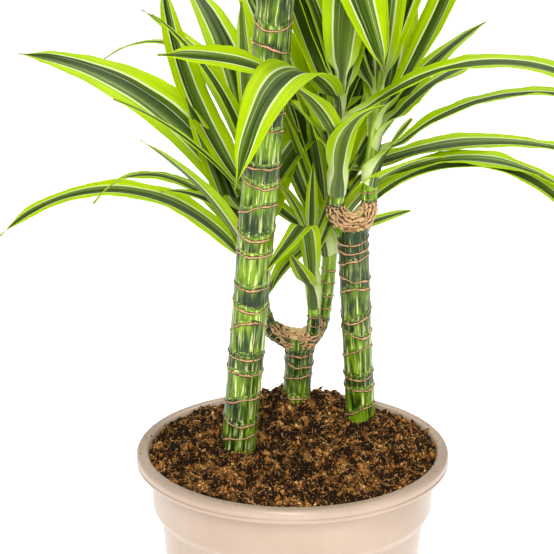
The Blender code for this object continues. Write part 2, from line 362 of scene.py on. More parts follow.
def addLamp(name, place, target, size, power, colour=(1, 1, 1)):
    data = bpy.data.lights.new(name, "AREA")
    data.shape = "RECTANGLE"
    data.size, data.size_y = size
    data.energy = power
    data.color = colour
    lamp = bpy.data.objects.new(name, data)
    lamp.location = place
    lamp.rotation_euler = (Vector(target) - Vector(place)).to_track_quat("-Z", "Y").to_euler()
    bpy.context.scene.collection.objects.link(lamp)


def makeStudio():
    world = bpy.data.worlds.new("studio")
    world.use_nodes = True
    shade = world.node_tree.nodes["Background"]
    shade.inputs["Color"].default_value = (1, 1, 1, 1)
    shade.inputs["Strength"].default_value = studio["skyStrength"]
    bpy.context.scene.world = world
    bpy.context.scene.view_settings.view_transform = "Standard"
    addLamp("keyBox", (-0.35, -2.0, 2.1), (0, 0, 0.35), (0.6, 0.9), 38)
    addLamp("fillBox", (1.8, -0.9, 1.1), (0, 0, 0.35), (0.7, 1.5), 7)
    addLamp("backBox", (0.2, 1.5, 2.4), (0, 0, 0.45), (1.8, 1.2), 46)
    addLamp("frontBox", (0.1, -2.4, 1.3), (0, 0, 0.15), (0.35, 0.9), 30)
    material, tree = newMaterial("paleFloor")
    grain = tree.noise(tree.node("ShaderNodeTexCoord")["Object"], 40.0, 3)["Fac"]
    colour = tree.mix(grain, (0.955, 0.955, 0.955), (0.975, 0.975, 0.975))
    glow = {"Emission Color": (1, 1, 1), "Emission Strength": studio["floorGlow"]}
    tree.output(tree.finish({"Base Color": colour, "Roughness": 0.6, **glow}))
    size = 30
    corners = [(-size, -size, 0), (size, -size, 0), (size, size, 0), (-size, size, 0)]
    floor = bpy.data.objects.new("floor", meshOf("floor", corners, [(0, 1, 2, 3)], material))
    bpy.context.scene.collection.objects.link(floor)


makeCamera()
makeStudio()
print("camera, lamps and floor placed")


leafLook = {
    "lime": linear(200, 226, 0),
    "limeShade": linear(162, 192, 0),
    "line": linear(250, 252, 226),
    "green": linear(70, 98, 10),
    "greenDeep": linear(20, 38, 2),
    "stripe": linear(132, 160, 62),
    "sheath": linear(238, 242, 196),
    "dry": linear(120, 84, 40),
    "under": linear(128, 152, 56),
    "glow": linear(222, 240, 0),
    "cadSides": 6,  # points in each ring of a CAD leaf
    "tellTip": 0.0013,  # half width under which a CAD leaf's tip doesn't say how it is turned
    "footRows": 9,
}


def makeLeafMaterial():
    material, tree = newMaterial("variegatedLeaf")
    blade = tree.attribute("blade", "Vector")
    parts = tree.node("ShaderNodeSeparateXYZ", {}, {0: blade})
    across, along, run = parts["X"], parts["Y"], parts["Z"]  # -1 to 1, 0 to 1, metres
    tone, under = tree.attribute("tone"), tree.attribute("under")
    side = abs(across)
    # long fibres: noise drawn out along the blade
    fibres = tree.noise(tree.join(across * 9.0 + tone * 30.0, run * 5.0, tone * 7.0), 1.0, 3, 0.6)["Fac"]
    fine = tree.noise(tree.join(across * 34.0 + tone * 11.0, run * 6.0, tone * 3.0), 1.0, 2, 0.7)["Fac"]
    drift = tree.noise(tree.join(across * 0.3, run * 14.0, tone * 40.0), 1.0, 2)["Fac"]
    cloud = tree.noise(tree.join(across * 1.2, run * 28.0, tone * 19.0), 1.0, 3)["Fac"]
    # the dark centre's edge wanders a little, and the centre narrows to the tip
    edge = 0.41 + (drift - 0.5) * 0.16 + (tone - 0.5) * 0.16 + tree.step(along, 0.75, 1.0) * 0.2
    inside = 1.0 - tree.step(side, edge - 0.02, edge + 0.03)
    line = 1.0 - tree.step(abs(side - edge - 0.055), 0.022, 0.055)
    line = line * (1.0 - tree.step(along, 0.86, 0.98))
    innerLine = 1.0 - tree.step(abs(side - edge + 0.20), 0.004, 0.016)
    innerLine = innerLine * tree.step(fibres, 0.38, 0.62)
    stripes = tree.step(fine, 0.56, 0.72) * 0.75
    green = tree.mix(tree.step(fibres, 0.34, 0.66), leafLook["greenDeep"], leafLook["green"])
    green = tree.mix(stripes * 0.5, green, leafLook["stripe"])
    # painted sheen: one half of the channel is painted paler, standing in for the sky's reflection on it
    flip = tree.step(tone, 0.49, 0.51) * 2.0 - 1.0
    sheen = tree.step(across * flip, 0.02, 0.22) * (0.1 + fibres * 0.5)
    green = tree.mix(sheen, green, leafLook["stripe"])
    limeShare = tree.step(fibres * 0.7 + cloud * 0.3, 0.36, 0.64)
    lime = tree.mix(limeShare, leafLook["limeShade"], leafLook["lime"])
    colour = tree.mix(inside, lime, green)
    colour = tree.mix(line * 0.9, colour, leafLook["line"])
    colour = tree.mix(innerLine * 0.55, colour, leafLook["line"])
    # pale foot where the blade clasps the stem, and a dry point at the tip
    foot = 1.0 - tree.step(run, -0.006, 0.032)
    pale = tree.step(side, 0.34, 0.50) * (1.0 - tree.step(side, 0.72, 0.95) * 0.55)
    colour = tree.mix(foot * (0.05 + pale * (0.5 + fibres * 0.5)), colour, leafLook["sheath"])
    dry = tree.step(along, 0.965, 0.995) * tree.step(tone, 0.3, 0.8)
    specks = tree.noise(tree.join(across * 26.0, run * 500.0, tone * 50.0), 0.55, 1)["Fac"]
    speck = tree.step(specks, 0.80, 0.84)
    colour = tree.mix((dry + speck * 0.5).least(1.0), colour, leafLook["dry"])
    colour = tree.mix(under * (1.0 - foot) * 0.22, colour, leafLook["under"])
    ribs = (across * 52.0).sin() * 0.25 + fine * 0.9
    shine = 0.36 + fibres * 0.14 + under * 0.16
    finish = {"Base Color": colour, "Roughness": shine, "IOR": 1.2, "Specular IOR Level": 0.4}
    surface = tree.finish(finish, ribs, 0.0004, 0.55)
    glow = tree.node("ShaderNodeBsdfTranslucent", {}, {"Color": leafLook["glow"]})
    share = 0.40 - inside * 0.33
    tree.output(tree.node("ShaderNodeMixShader", {}, {0: share, 1: surface, 2: glow}))
    return material


def makeBladeTree():
    # Rows of a leaf's midrib in, a thin wavy blade with a clasping foot out.
    tree, source = groupTree(
        "leafBlade",
        {
            "Columns": ("Int", 13),
            "Channel": ("Float", 0.35),
            "Wave": ("Float", 0.0015),
            "Ripple": ("Float", 34.0),
            "Seed": ("Float", 0.0),
            "Thickness": ("Float", 0.0006),
            "Climb": ("Float", 0.006),
            "Material": ("Material", None),
        },
    )
    rows = source["Geometry"]
    count = tree.node("GeometryNodeAttributeDomainSize", {}, {"Geometry": rows})["Point Count"]
    sizes = {"Size X": 2.0, "Size Y": 1.0, "Vertices X": source["Columns"], "Vertices Y": count}
    grid = tree.node("GeometryNodeMeshGrid", {}, sizes)["Mesh"]
    place = tree.node("ShaderNodeSeparateXYZ", {}, {0: tree.node("GeometryNodeInputPosition")})
    across = place["X"]
    rowNumber = (place["Y"] + 0.5) * (count - 1.0)
    index = tree.node("ShaderNodeMath", {"operation": "ROUND"}, {0: rowNumber})

    def row(name, kind="FLOAT"):
        stored = tree.node("GeometryNodeInputNamedAttribute", {"data_type": kind}, {"Name": name})
        settings = {"data_type": kind, "domain": "POINT"}
        sample = {"Geometry": rows, "Value": stored["Attribute"], "Index": index}
        return tree.node("GeometryNodeSampleIndex", settings, sample)

    vectorNames = ("midrib", "sideways", "upward", "stemPlace", "stemOut", "stemSide")
    numberNames = ("halfWidth", "wrap", "wrapRadius", "wrapAngle", "run", "share", "flat")
    vectors = {name: row(name, "FLOAT_VECTOR") for name in vectorNames}
    numbers = {name: row(name) for name in numberNames}
    side = abs(across)
    # a channel along the midrib that eases out to the margins, and margins that ripple
    lift = source["Channel"] * (side ** 1.4 - 0.25 * side * side * side) * (1.0 - numbers["flat"] * 0.6)
    run = numbers["run"] * source["Ripple"]
    seed = source["Seed"]
    left = tree.noise(tree.join(run, seed, 1.7), 1.0, 2)["Fac"]
    right = tree.noise(tree.join(run, seed, 9.3), 1.0, 2)["Fac"]
    choose = tree.step(across, -0.4, 0.4)
    ripple = (left + (right - left) * choose - 0.5) * side * side * source["Wave"] * 2.0
    body = tree.noise(tree.join(run * 0.4, seed, 5.1), 1.0, 1)["Fac"] - 0.5
    roll = body * across * source["Wave"] * 1.4
    width = numbers["halfWidth"]
    margin = 1.0 + (left + (right - left) * choose - 0.5) * 0.10
    out = vectors["sideways"] * (across * width * margin * (1.0 - lift * 0.25))
    up = vectors["upward"] * (lift * width + (ripple + roll) * (1.0 - numbers["wrap"]))
    blade = vectors["midrib"] + out + up
    angle = across * numbers["wrapAngle"]
    turned = vectors["stemOut"] * angle.cos() + vectors["stemSide"] * angle.sin()
    # a sheath's margins rise as they wrap round the stem
    climb = tree.join(0.0, 0.0, side * side * source["Climb"])
    clasp = vectors["stemPlace"] + turned * numbers["wrapRadius"] + climb
    spot = blade + (clasp - blade) * numbers["wrap"]
    bladeSpot = tree.join(across, numbers["share"], numbers["run"])
    labelled = tree.store(grid, "blade", bladeSpot, "POINT", "FLOAT_VECTOR")
    marked = tree.node("GeometryNodeSetPosition", {}, {"Geometry": labelled, "Position": spot})
    back = tree.node("GeometryNodeFlipFaces", {}, {"Mesh": marked})
    raised = tree.node(
        "GeometryNodeExtrudeMesh",
        {"mode": "FACES"},
        {"Mesh": marked, "Offset Scale": source["Thickness"], "Individual": False},
    )["Mesh"]
    raised = tree.store(raised, "under", 1.0)
    both = tree.node("GeometryNodeJoinGeometry", {}, {"Geometry": [raised, back]})
    closed = tree.node("GeometryNodeMergeByDistance", {}, {"Geometry": both, "Distance": 0.00001})
    closeGroup(tree, closed, source["Material"])
    return tree


def leafRows(node, shoot):
    # a CAD leaf's midrib, its sideways and upward directions and half widths, from its base to its tip
    points, joined = welded(node)
    ends = []
    starts = [int(end) for axis in (0, 2) for end in (points[:, axis].argmin(), points[:, axis].argmax())]
    for start in starts:
        hops, ring = {start: 0}, [start]
        while ring:
            ring = [j for i in ring for j in joined[i] if hops.setdefault(j, hops[i] + 1) == hops[i] + 1]
            ring = list(dict.fromkeys(ring))
        far = max(hops, key=hops.get)
        ends.append((hops[far], far))
    far = max(ends)[1]
    loops = loopsFrom(points, joined, far, leafLook["cadSides"])
    if stemGap(shoot, loops[0].mean(0)) > stemGap(shoot, loops[-1].mean(0)):
        loops = loops[::-1]
    middles = np.array([loop.mean(0) for loop in loops])
    along = unit(np.gradient(middles, axis=0))
    rows, sideways = [], None
    for loop, middle, ahead in zip(loops, middles, along):
        spread = loop - middle
        spread = spread - np.outer(spread @ ahead, ahead)
        values, axes = np.linalg.eigh(spread.T @ spread)
        wide = axes[:, 2]
        if sideways is not None and wide @ sideways < 0:
            wide = -wide
        if np.abs(spread @ wide).max() < leafLook["tellTip"] and sideways is not None:
            wide = sideways  # the tip is too narrow to tell
        sideways = unit(wide - ahead * (wide @ ahead))
        upward = np.cross(ahead, sideways)
        order = np.argsort(loop @ sideways)
        outer, inner = loop[order[[0, 1, 4, 5]]], loop[order[[2, 3]]]
        half = np.ptp(loop @ sideways) / 2
        rows.append([inner.mean(0), sideways, upward, half, (outer.mean(0) - inner.mean(0)) @ upward])
    rib, sideways, upward, half, lift = (np.array(column) for column in zip(*rows))
    if lift[1:6].sum() < 0:  # the channel opens on the leaf's upper side
        sideways, upward = -sideways, -upward
    return rib, sideways, upward, half


def stemAt(shoot, height):
    # the point, direction and radius of a shoot's stem at a height
    centres, radii = stemLines[shoot]
    order = np.argsort(centres[:, 2])
    heights = centres[order, 2]

    def centreAt(level):
        return np.array([np.interp(level, heights, centres[order, k]) for k in range(3)])

    ahead = centreAt(height + 0.01) - centreAt(height - 0.01) + np.array([0, 0, 1e-6])
    return centreAt(height), unit(ahead), float(np.interp(height, heights, radii[order]))


def stemGap(shoot, point):
    place, direction, _ = stemAt(shoot, point[2])
    off = point - place
    return float(np.linalg.norm(off - direction * (off @ direction)))


leafTree = makeBladeTree()
leafMaterial = makeLeafMaterial()

# How some leaves differ from the usual, mostly in how far and how often their margins ripple.
leafHabit = {
    "usual": {"wave": 0.0030, "channel": 0.34, "ripple": 26.0, "sheath": 0.013, "rowStep": 0.0042},
    "rear_left_low_short": {"wave": 0.006, "ripple": 34.0},
    "rear_left_low_arch": {"wave": 0.004},
    "right_left_long_right": {"wave": 0.005},
    "right_right_right_arch": {"wave": 0.009, "ripple": 40.0},
    "right_right_right_far": {"wave": 0.006},
    "rear_tall_right_level": {"wave": 0.006},
    "rear_tall_right_mid": {"wave": 0.007, "ripple": 30.0},
    "right_left_left_wavy": {"wave": 0.009, "ripple": 60.0},
}


def growLeaf(name, rib, sideways, upward, half, shoot, seat, habit, seed, sheathSpread):
    # resamples the midrib, adds the clasping foot below it, and grows the blade
    run = runAlong(rib)
    length = run[-1]
    count = max(14, int(length / habit["rowStep"]))
    wanted = np.linspace(0, length, count)
    share = wanted / length
    rib, sideways, upward, half = (through(values, run, wanted) for values in (rib, sideways, upward, half))
    half = np.clip(half, 0, None)
    half = np.clip(half * (1 - smooth(share, 0.90, 1.0) * 0.75), 0.0004, None)
    sideways = unit(sideways)
    upward = unit(upward - sideways * (upward * sideways).sum(1, keepdims=True))
    # the foot: rows that run down the stem and wrap round it
    footCount = leafLook["footRows"]
    footRun = -habit["sheath"] * np.linspace(1, 0, footCount, endpoint=False)
    ahead = unit(rib[1] - rib[0])
    base, stemUp, stemRadius = stemAt(shoot, seat)
    out = rib[0] - base
    out = unit(out - stemUp * (out @ stemUp))
    turnSide = np.cross(stemUp, out)
    if turnSide @ sideways[0] < 0:
        turnSide = -turnSide
    rows = footCount + count
    allRun = np.concatenate([footRun, wanted])
    stemPlace = base + np.outer(np.clip(allRun, -1, 0.03), stemUp)
    wrap = 1 - smooth(allRun, -0.002, 0.022)
    angle = sheathSpread * (1 - smooth(allRun, -habit["sheath"], 0.012) * 0.62)
    flare = 0.0012 * smooth(allRun, -habit["sheath"], 0.0)
    radius = stemRadius + 0.0004 + flare + np.clip(allRun, 0, 1) * 0.2
    footRib = rib[0] + np.outer(footRun, ahead)
    attributes = {
        "midrib": np.vstack([footRib, rib]),
        "sideways": np.vstack([np.repeat(sideways[:1], footCount, 0), sideways]),
        "upward": np.vstack([np.repeat(upward[:1], footCount, 0), upward]),
        "stemPlace": stemPlace,
        "stemOut": np.repeat(out[None], rows, 0),
        "stemSide": np.repeat(turnSide[None], rows, 0),
        "halfWidth": np.concatenate([np.full(footCount, half[0]), half]),
        "wrap": wrap,
        "wrapRadius": radius,
        "wrapAngle": angle,
        "run": allRun,
        "share": np.concatenate([np.zeros(footCount), share]),
        "flat": smooth(np.concatenate([np.zeros(footCount), share]), 0.2, 0.9),
    }
    line = meshOf(name + "Rows", attributes["midrib"], [], None, attributes)
    values = {
        "Columns": 15 if length > 0.12 else 11,
        "Channel": habit["channel"],
        "Wave": habit["wave"],
        "Ripple": habit["ripple"],
        "Seed": seed,
        "Material": leafMaterial,
    }
    mesh = grown(name, line, leafTree, values)
    tone = mesh.attributes.new("tone", "FLOAT", "POINT")
    tone.data.foreach_set("value", np.full(len(mesh.vertices), (seed * 0.618) % 1.0, np.float32))
    return mesh


# The stems' centre lines, foot to tip, and their radii in metres. Canes hardly change in thickness;
# shoots narrow over their last stretch.
stemRoutes = {
    "cane_tall": (
        (
            (-0.053, 0.01, 0.085), (-0.0365, 0.007, 0.285), (-0.02, 0.004, 0.485),
            (-0.0036, 0.002, 0.683),
        ),
        0.0138,
    ),
    "cane_right": (
        (
            (0.048, 0.057, 0.12), (0.0524, 0.063, 0.168), (0.0554, 0.067, 0.206),
            (0.0508, 0.0645, 0.295), (0.0462, 0.062, 0.384),
        ),
        0.0118,
    ),
    "cane_rear": (
        (
            (-0.003, 0.0835, 0.15), (0.0002, 0.0835, 0.195), (0.0034, 0.083, 0.241),
            (0.0065, 0.083, 0.287),
        ),
        0.0113,
    ),
    "rear_left": (
        (
            (0.004, 0.083, 0.28), (-0.009, 0.084, 0.2845), (-0.0195, 0.085, 0.2945),
            (-0.0275, 0.085, 0.332), (-0.0325, 0.085, 0.446),
        ),
        0.0062,
    ),
    "rear_tall": (
        (
            (0.009, 0.084, 0.279), (0.0185, 0.091, 0.286), (0.025, 0.097, 0.302), (0.03, 0.1, 0.36),
            (0.03, 0.1, 0.446),
        ),
        0.006,
    ),
    "rear_front": (
        (
            (0.008, 0.081, 0.28), (0.0135, 0.073, 0.287), (0.0162, 0.068, 0.299),
            (0.0165, 0.066, 0.322), (0.0145, 0.066, 0.372),
        ),
        0.0052,
    ),
    "right_left": (
        (
            (0.044, 0.062, 0.377), (0.0375, 0.061, 0.3855), (0.0325, 0.061, 0.397),
            (0.034, 0.061, 0.418), (0.036, 0.061, 0.496),
        ),
        0.0068,
    ),
    "right_right": (
        (
            (0.049, 0.063, 0.377), (0.0555, 0.067, 0.3865), (0.059, 0.07, 0.399), (0.06, 0.072, 0.424),
            (0.066, 0.073, 0.502),
        ),
        0.0062,
    ),
    "tall_left": (
        (
            (-0.005, 0.002, 0.66), (-0.022, -0.001, 0.672), (-0.029, -0.003, 0.692),
            (-0.032, -0.004, 0.725), (-0.037, -0.006, 0.835),
        ),
        0.008,
    ),
    "tall_right": (
        (
            (-0.004, 0.002, 0.664), (0.012, 0.008, 0.676), (0.02, 0.012, 0.697), (0.024, 0.014, 0.74),
            (0.029, 0.017, 0.85),
        ),
        0.008,
    ),
}


def smoothRoute(points, steps):
    points = np.array(points)
    ends = np.vstack([2 * points[0] - points[1], points, 2 * points[-1] - points[-2]])
    route = []
    for a, b, c, d in zip(ends, ends[1:], ends[2:], ends[3:]):
        bend, twist = 2 * a - 5 * b + 4 * c - d, 3 * b - a - 3 * c + d
        route += [0.5 * (2 * b + (c - a) * t + bend * t**2 + twist * t**3) for t in np.arange(steps) / steps]
    return np.array([*route, points[-1]])


def stemLine(name):
    # a stem's centre line and radii, upward
    route, radius = stemRoutes[name]
    line = smoothRoute(route, 6)
    share = np.linspace(0, len(route) - 1, len(line))
    if name.startswith("cane"):
        return line, radius * (0.97 + 0.05 * share / (len(route) - 1))
    leafy = np.clip(share - (len(route) - 2), 0, 1)
    collar = 1 + 0.30 * np.clip(1 - share * 0.6, 0, 1)
    return line, radius * collar * (1 - 0.70 * leafy)


stemLines = {name: stemLine(name) for name in stemRoutes}
print("stems laid out:", len(stemLines))


def makeLeaves():
    made = 0
    for node in sorted(n for n in cadNodes if n.startswith("leaf_")):
        label = node[5:]
        shoot = next(s for s in sorted(stemLines) if label.startswith(s + "_"))
        habit = {**leafHabit["usual"], **leafHabit.get(label, {})}
        rib, sideways, upward, half = leafRows(node, shoot)
        seed = 1.0 + made * 1.37
        mesh = growLeaf(label, rib, sideways, upward, half, shoot, rib[0][2], habit, seed, 2.1)
        addPiece("leaf_" + label, mesh, [node], 50)
        made += 1
    print("leaves grown:", made)


makeLeaves()


# Young leaves in the heart of each head, and others that fill it out: way, rise and droop in degrees,
# length and width in metres, and how far up the leafy stem, 0 to 1.
heartLook = {
    "rear_left": (
        (178, 52, 38, 0.138, 0.012, 0.55), (250, 80, 10, 0.12, 0.016, 0.97),
        (60, 76, 30, 0.15, 0.024, 0.9), (160, 70, 34, 0.14, 0.026, 0.84),
        (150, 70, 16, 0.15, 0.034, 0.04), (205, 62, 30, 0.15, 0.034, 0.12),
        (70, 60, 50, 0.2, 0.04, 0.3), (30, 56, 60, 0.2, 0.038, 0.5),
    ),
    "rear_tall": (
        (190, 74, 8, 0.165, 0.04, 0.06), (160, 76, 12, 0.2, 0.038, 0.18),
        (130, 66, 40, 0.24, 0.042, 0.32), (20, 64, 44, 0.2, 0.036, 0.3),
        (60, 70, 36, 0.23, 0.038, 0.5), (186, -24, 50, 0.066, 0.028, 0.02),
        (330, 58, 50, 0.13, 0.03, 0.1), (200, 82, 6, 0.11, 0.014, 0.97),
        (20, 74, 34, 0.15, 0.024, 0.9), (100, 68, 40, 0.17, 0.026, 0.82),
    ),
    "rear_front": (
        (90, 84, 4, 0.06, 0.01, 0.97), (10, 74, 26, 0.08, 0.016, 0.88),
        (190, 72, 24, 0.085, 0.016, 0.8),
    ),
    "right_left": (
        (90, 84, 6, 0.13, 0.016, 0.97), (150, 74, 30, 0.17, 0.026, 0.92),
        (60, 72, 34, 0.19, 0.028, 0.84),
    ),
    "right_right": (
        (110, 82, 6, 0.12, 0.016, 0.97), (70, 72, 36, 0.16, 0.026, 0.9),
        (150, 74, 26, 0.17, 0.026, 0.84),
    ),
    "tall_left": (
        (120, 84, 6, 0.1, 0.016, 0.98), (210, 62, 40, 0.17, 0.028, 0.9),
        (60, 74, 30, 0.13, 0.026, 0.88), (300, 40, 66, 0.23, 0.036, 0.44),
        (110, 44, 66, 0.23, 0.036, 0.36), (20, 66, 50, 0.13, 0.03, 0.66),
        (180, 20, 66, 0.2, 0.032, 0.05),
    ),
    "tall_right": (
        (80, 84, 6, 0.095, 0.016, 0.98), (330, 66, 30, 0.12, 0.028, 0.92),
        (150, 70, 36, 0.12, 0.026, 0.88), (210, 44, 66, 0.21, 0.036, 0.44),
        (60, 50, 60, 0.21, 0.036, 0.36), (350, 24, 66, 0.2, 0.032, 0.05),
        (250, 20, 70, 0.18, 0.03, 0.1),
    ),
}


youngUsual = {**leafHabit["usual"], "channel": 0.4, "wave": 0.002, "rowStep": 0.006}
youngSteps = 23  # stretches in a young leaf's midrib
youngTurn = 14  # degrees that a young leaf turns sideways by its tip


def youngLeaf(shoot, number, way, rise, droop, length, width, seat):
    leafy, high = stemRoutes[shoot][0][-2][2], stemLines[shoot][0][-1, 2]
    height = leafy + (high - leafy) * seat
    place, _, radius = stemAt(shoot, height)
    s = np.linspace(0, 1, youngSteps + 1)
    pitch = np.radians(rise - droop * s**1.3)
    azimuth = np.radians(way + youngTurn * s * (1 if number % 2 else -1))
    level = np.cos(pitch)
    ahead = np.stack([level * np.cos(azimuth), level * np.sin(azimuth), np.sin(pitch)], 1)
    first = place + radius * np.array([math.cos(azimuth[0]), math.sin(azimuth[0]), 0])
    rib = first + np.vstack([np.zeros(3), np.cumsum(ahead[:-1] * length / youngSteps, 0)])
    flat = np.stack([-np.sin(azimuth), np.cos(azimuth), 0 * azimuth], 1)
    upward = np.cross(ahead, -flat)
    upward = np.where(upward[:, 2:3] < 0, -upward, upward)
    sideways = np.cross(upward, ahead)
    half = width / 2 * (0.35 * (1 - s) ** 2 + np.sin(np.pi * s**0.8) ** 0.8 + 0.04)
    # the topmost leaves are still half rolled up
    habit = {**youngUsual, "channel": 0.7} if seat > 0.95 else youngUsual
    seed = 60 + number * 3.7 + len(shoot)
    return growLeaf(f"{shoot}Young{number}", rib, sideways, upward, half, shoot, height, habit, seed, 2.0)


def makeHearts():
    for shoot, leaves in heartLook.items():
        meshes = [youngLeaf(shoot, number, *leaf) for number, leaf in enumerate(leaves)]
        joined = bmesh.new()
        for mesh in meshes:
            joined.from_mesh(mesh)
        whole = bpy.data.meshes.new("heart")
        joined.to_mesh(whole)
        joined.free()
        whole.materials.append(leafMaterial)
        addPiece("heart_" + shoot, whole, (), 50)
    print("hearts grown:", len(heartLook))


makeHearts()


barkLook = {
    "dark": linear(16, 34, 12),
    "darkSheen": linear(96, 112, 66),
    "mid": linear(58, 90, 8),
    "light": linear(116, 152, 0),
    "streak": linear(248, 240, 176),
    "scar": linear(204, 162, 116),
    "scarDark": linear(70, 42, 22),
    "cut": linear(218, 186, 128),
    "cutDark": linear(118, 80, 42),
    "speck": linear(92, 50, 30),
    "young": linear(140, 172, 40),
}


def makeBarkMaterial():
    material, tree = newMaterial("caneBark")
    around = tree.attribute("around", "Vector")  # cosine and sine of the turn, then metres along
    parts = tree.node("ShaderNodeSeparateXYZ", {}, {0: around})
    x, y, run = parts["X"], parts["Y"], parts["Z"]
    scar, tone, cut, young = (tree.attribute(n) for n in ("scar", "tone", "cut", "young"))
    band = tree.attribute("band")
    girth = tree.attribute("girth")  # radius over a cane's radius, so that grain keeps its size on thin stems
    gx, gy = x * girth, y * girth
    wide = tree.noise(tree.join(gx * 5.0, gy * 5.0, run * 30.0 + tone * 9.0), 1.0, 3, 0.55)["Fac"]
    fine = tree.noise(tree.join(gx * 15.0, gy * 15.0, run * 42.0), 1.0, 3, 0.6)["Fac"]
    patch = tree.noise(tree.join(gx * 1.6, gy * 1.6, run * 60.0 + tone * 5.0), 1.0, 2, 0.5)["Fac"]
    ragged = tree.noise(tree.join(gx * 9.0, gy * 9.0, run * 700.0), 1.0, 4, 0.7)["Fac"]
    light = (tone * 1.35 - 0.08 + (patch - 0.5) * 1.5).least(1.0).most(0.0)
    green = tree.mix(tree.step(wide, 0.36, 0.64) * (0.35 + light * 0.65), barkLook["dark"], barkLook["mid"])
    green = tree.mix(light * tree.step(wide * 0.6 + patch * 0.4, 0.36, 0.60), green, barkLook["light"])
    # painted sheen: a bluish-grey sheen painted over the darker bark
    green = tree.mix(tree.step(fine, 0.5, 0.75) * (1.0 - light) * 0.5, green, barkLook["darkSheen"])
    # painted highlight: pale streaks painted on the bark in place of the lamps' glossy reflections, longest
    # just above a scar
    near = tree.step(band, -0.2, 0.15) * (1.0 - tree.step(band, 0.55, 1.0) * 0.75)
    streak = tree.step(wide * 0.55 + fine * 0.45, 0.53, 0.62) * (0.25 + light * 0.75) * near
    green = tree.mix(streak * 0.95, green, barkLook["streak"])
    # painted highlight: short pale dashes of the same painted reflection
    green = tree.mix(tree.step(fine, 0.60, 0.70) * 0.35, green, barkLook["streak"])
    green = tree.mix(young * (0.45 + fine * 0.4), green, barkLook["young"])
    speckSpot = tree.join(gx * 5.0, gy * 5.0, run * 380.0)
    spots = tree.node("ShaderNodeTexVoronoi", {}, {"Vector": speckSpot, "Scale": 1.0})
    rare = tree.noise(tree.join(gx * 3.0, gy * 3.0, run * 200.0), 1.0, 0)["Fac"]
    speck = (1.0 - tree.step(spots["Distance"], 0.09, 0.16)) * tree.step(rare, 0.55, 0.6)
    green = tree.mix(speck * 0.8, green, barkLook["speck"])
    # the scars: ragged corky lines, darker along their edges, with a dark line of painted shadow just below
    # each
    below = tree.step(band, 0.5, 0.6) * tree.step(scar + (ragged - 0.5) * 0.5, 0.06, 0.18)
    green = tree.mix(below * 0.75, green, barkLook["scarDark"])
    line = tree.step(scar + (ragged - 0.5) * 1.5, 0.42, 0.54)
    core = tree.step(scar + (ragged - 0.5) * 1.7, 0.72, 0.94)
    cork = tree.mix(core, barkLook["scarDark"], barkLook["scar"])
    cork = tree.mix(tree.step(ragged, 0.60, 0.68) * 0.7, cork, barkLook["scarDark"])
    colour = tree.mix(line, green, cork)
    dried = tree.mix(tree.step(ragged * 0.5 + patch * 0.5, 0.40, 0.60), barkLook["cutDark"], barkLook["cut"])
    colour = tree.mix(tree.step(cut + (ragged - 0.5) * 0.5, 0.40, 0.55), colour, dried)
    rough = (line.most(cut) * 0.45 + 0.30 + speck * 0.2).least(0.85)
    bump = fine * 0.16 + ragged * (line.most(cut) * 1.6 + 0.05)
    coat = (1.0 - line.most(cut)) * 0.06
    gloss = {"Coat Weight": coat, "Coat Roughness": 0.14, "Specular IOR Level": 0.25}
    tree.output(tree.finish({"Base Color": colour, "Roughness": rough, **gloss}, bump, 0.0007, 0.8))
    return material


def waver(turns, rng, height, waves=5):
    # a closed wavy line: heights at the given turns
    total = np.zeros_like(turns)
    for k in range(2, 2 + waves):
        total = total + math.cos(rng.uniform(0, 6.28)) * np.sin(k * turns + rng.uniform(0, 6.28)) / k**0.6
    return total * height


# Across a leaf scar, from below it to above: how far out in half widths, how raised, how corky.
scarProfile = (
    (-1.9, 0.0, 0.0), (-1.3, 0.0, 0.1), (-0.9, 0.08, 0.5), (-0.45, 0.75, 0.85), (0.0, 1.0, 1.0),
    (0.45, 0.75, 0.85), (0.9, 0.10, 0.5), (1.3, 0.0, 0.1), (1.9, 0.0, 0.0),
)
# The cut top: share of the radius and height of each ring of its rounded edge and slightly sunken face.
crownProfile = (
    (0.985, 0.0007), (0.95, 0.0012), (0.85, 0.0011), (0.6, 0.0004), (0.3, -0.0003), (0.02, -0.0006),
)


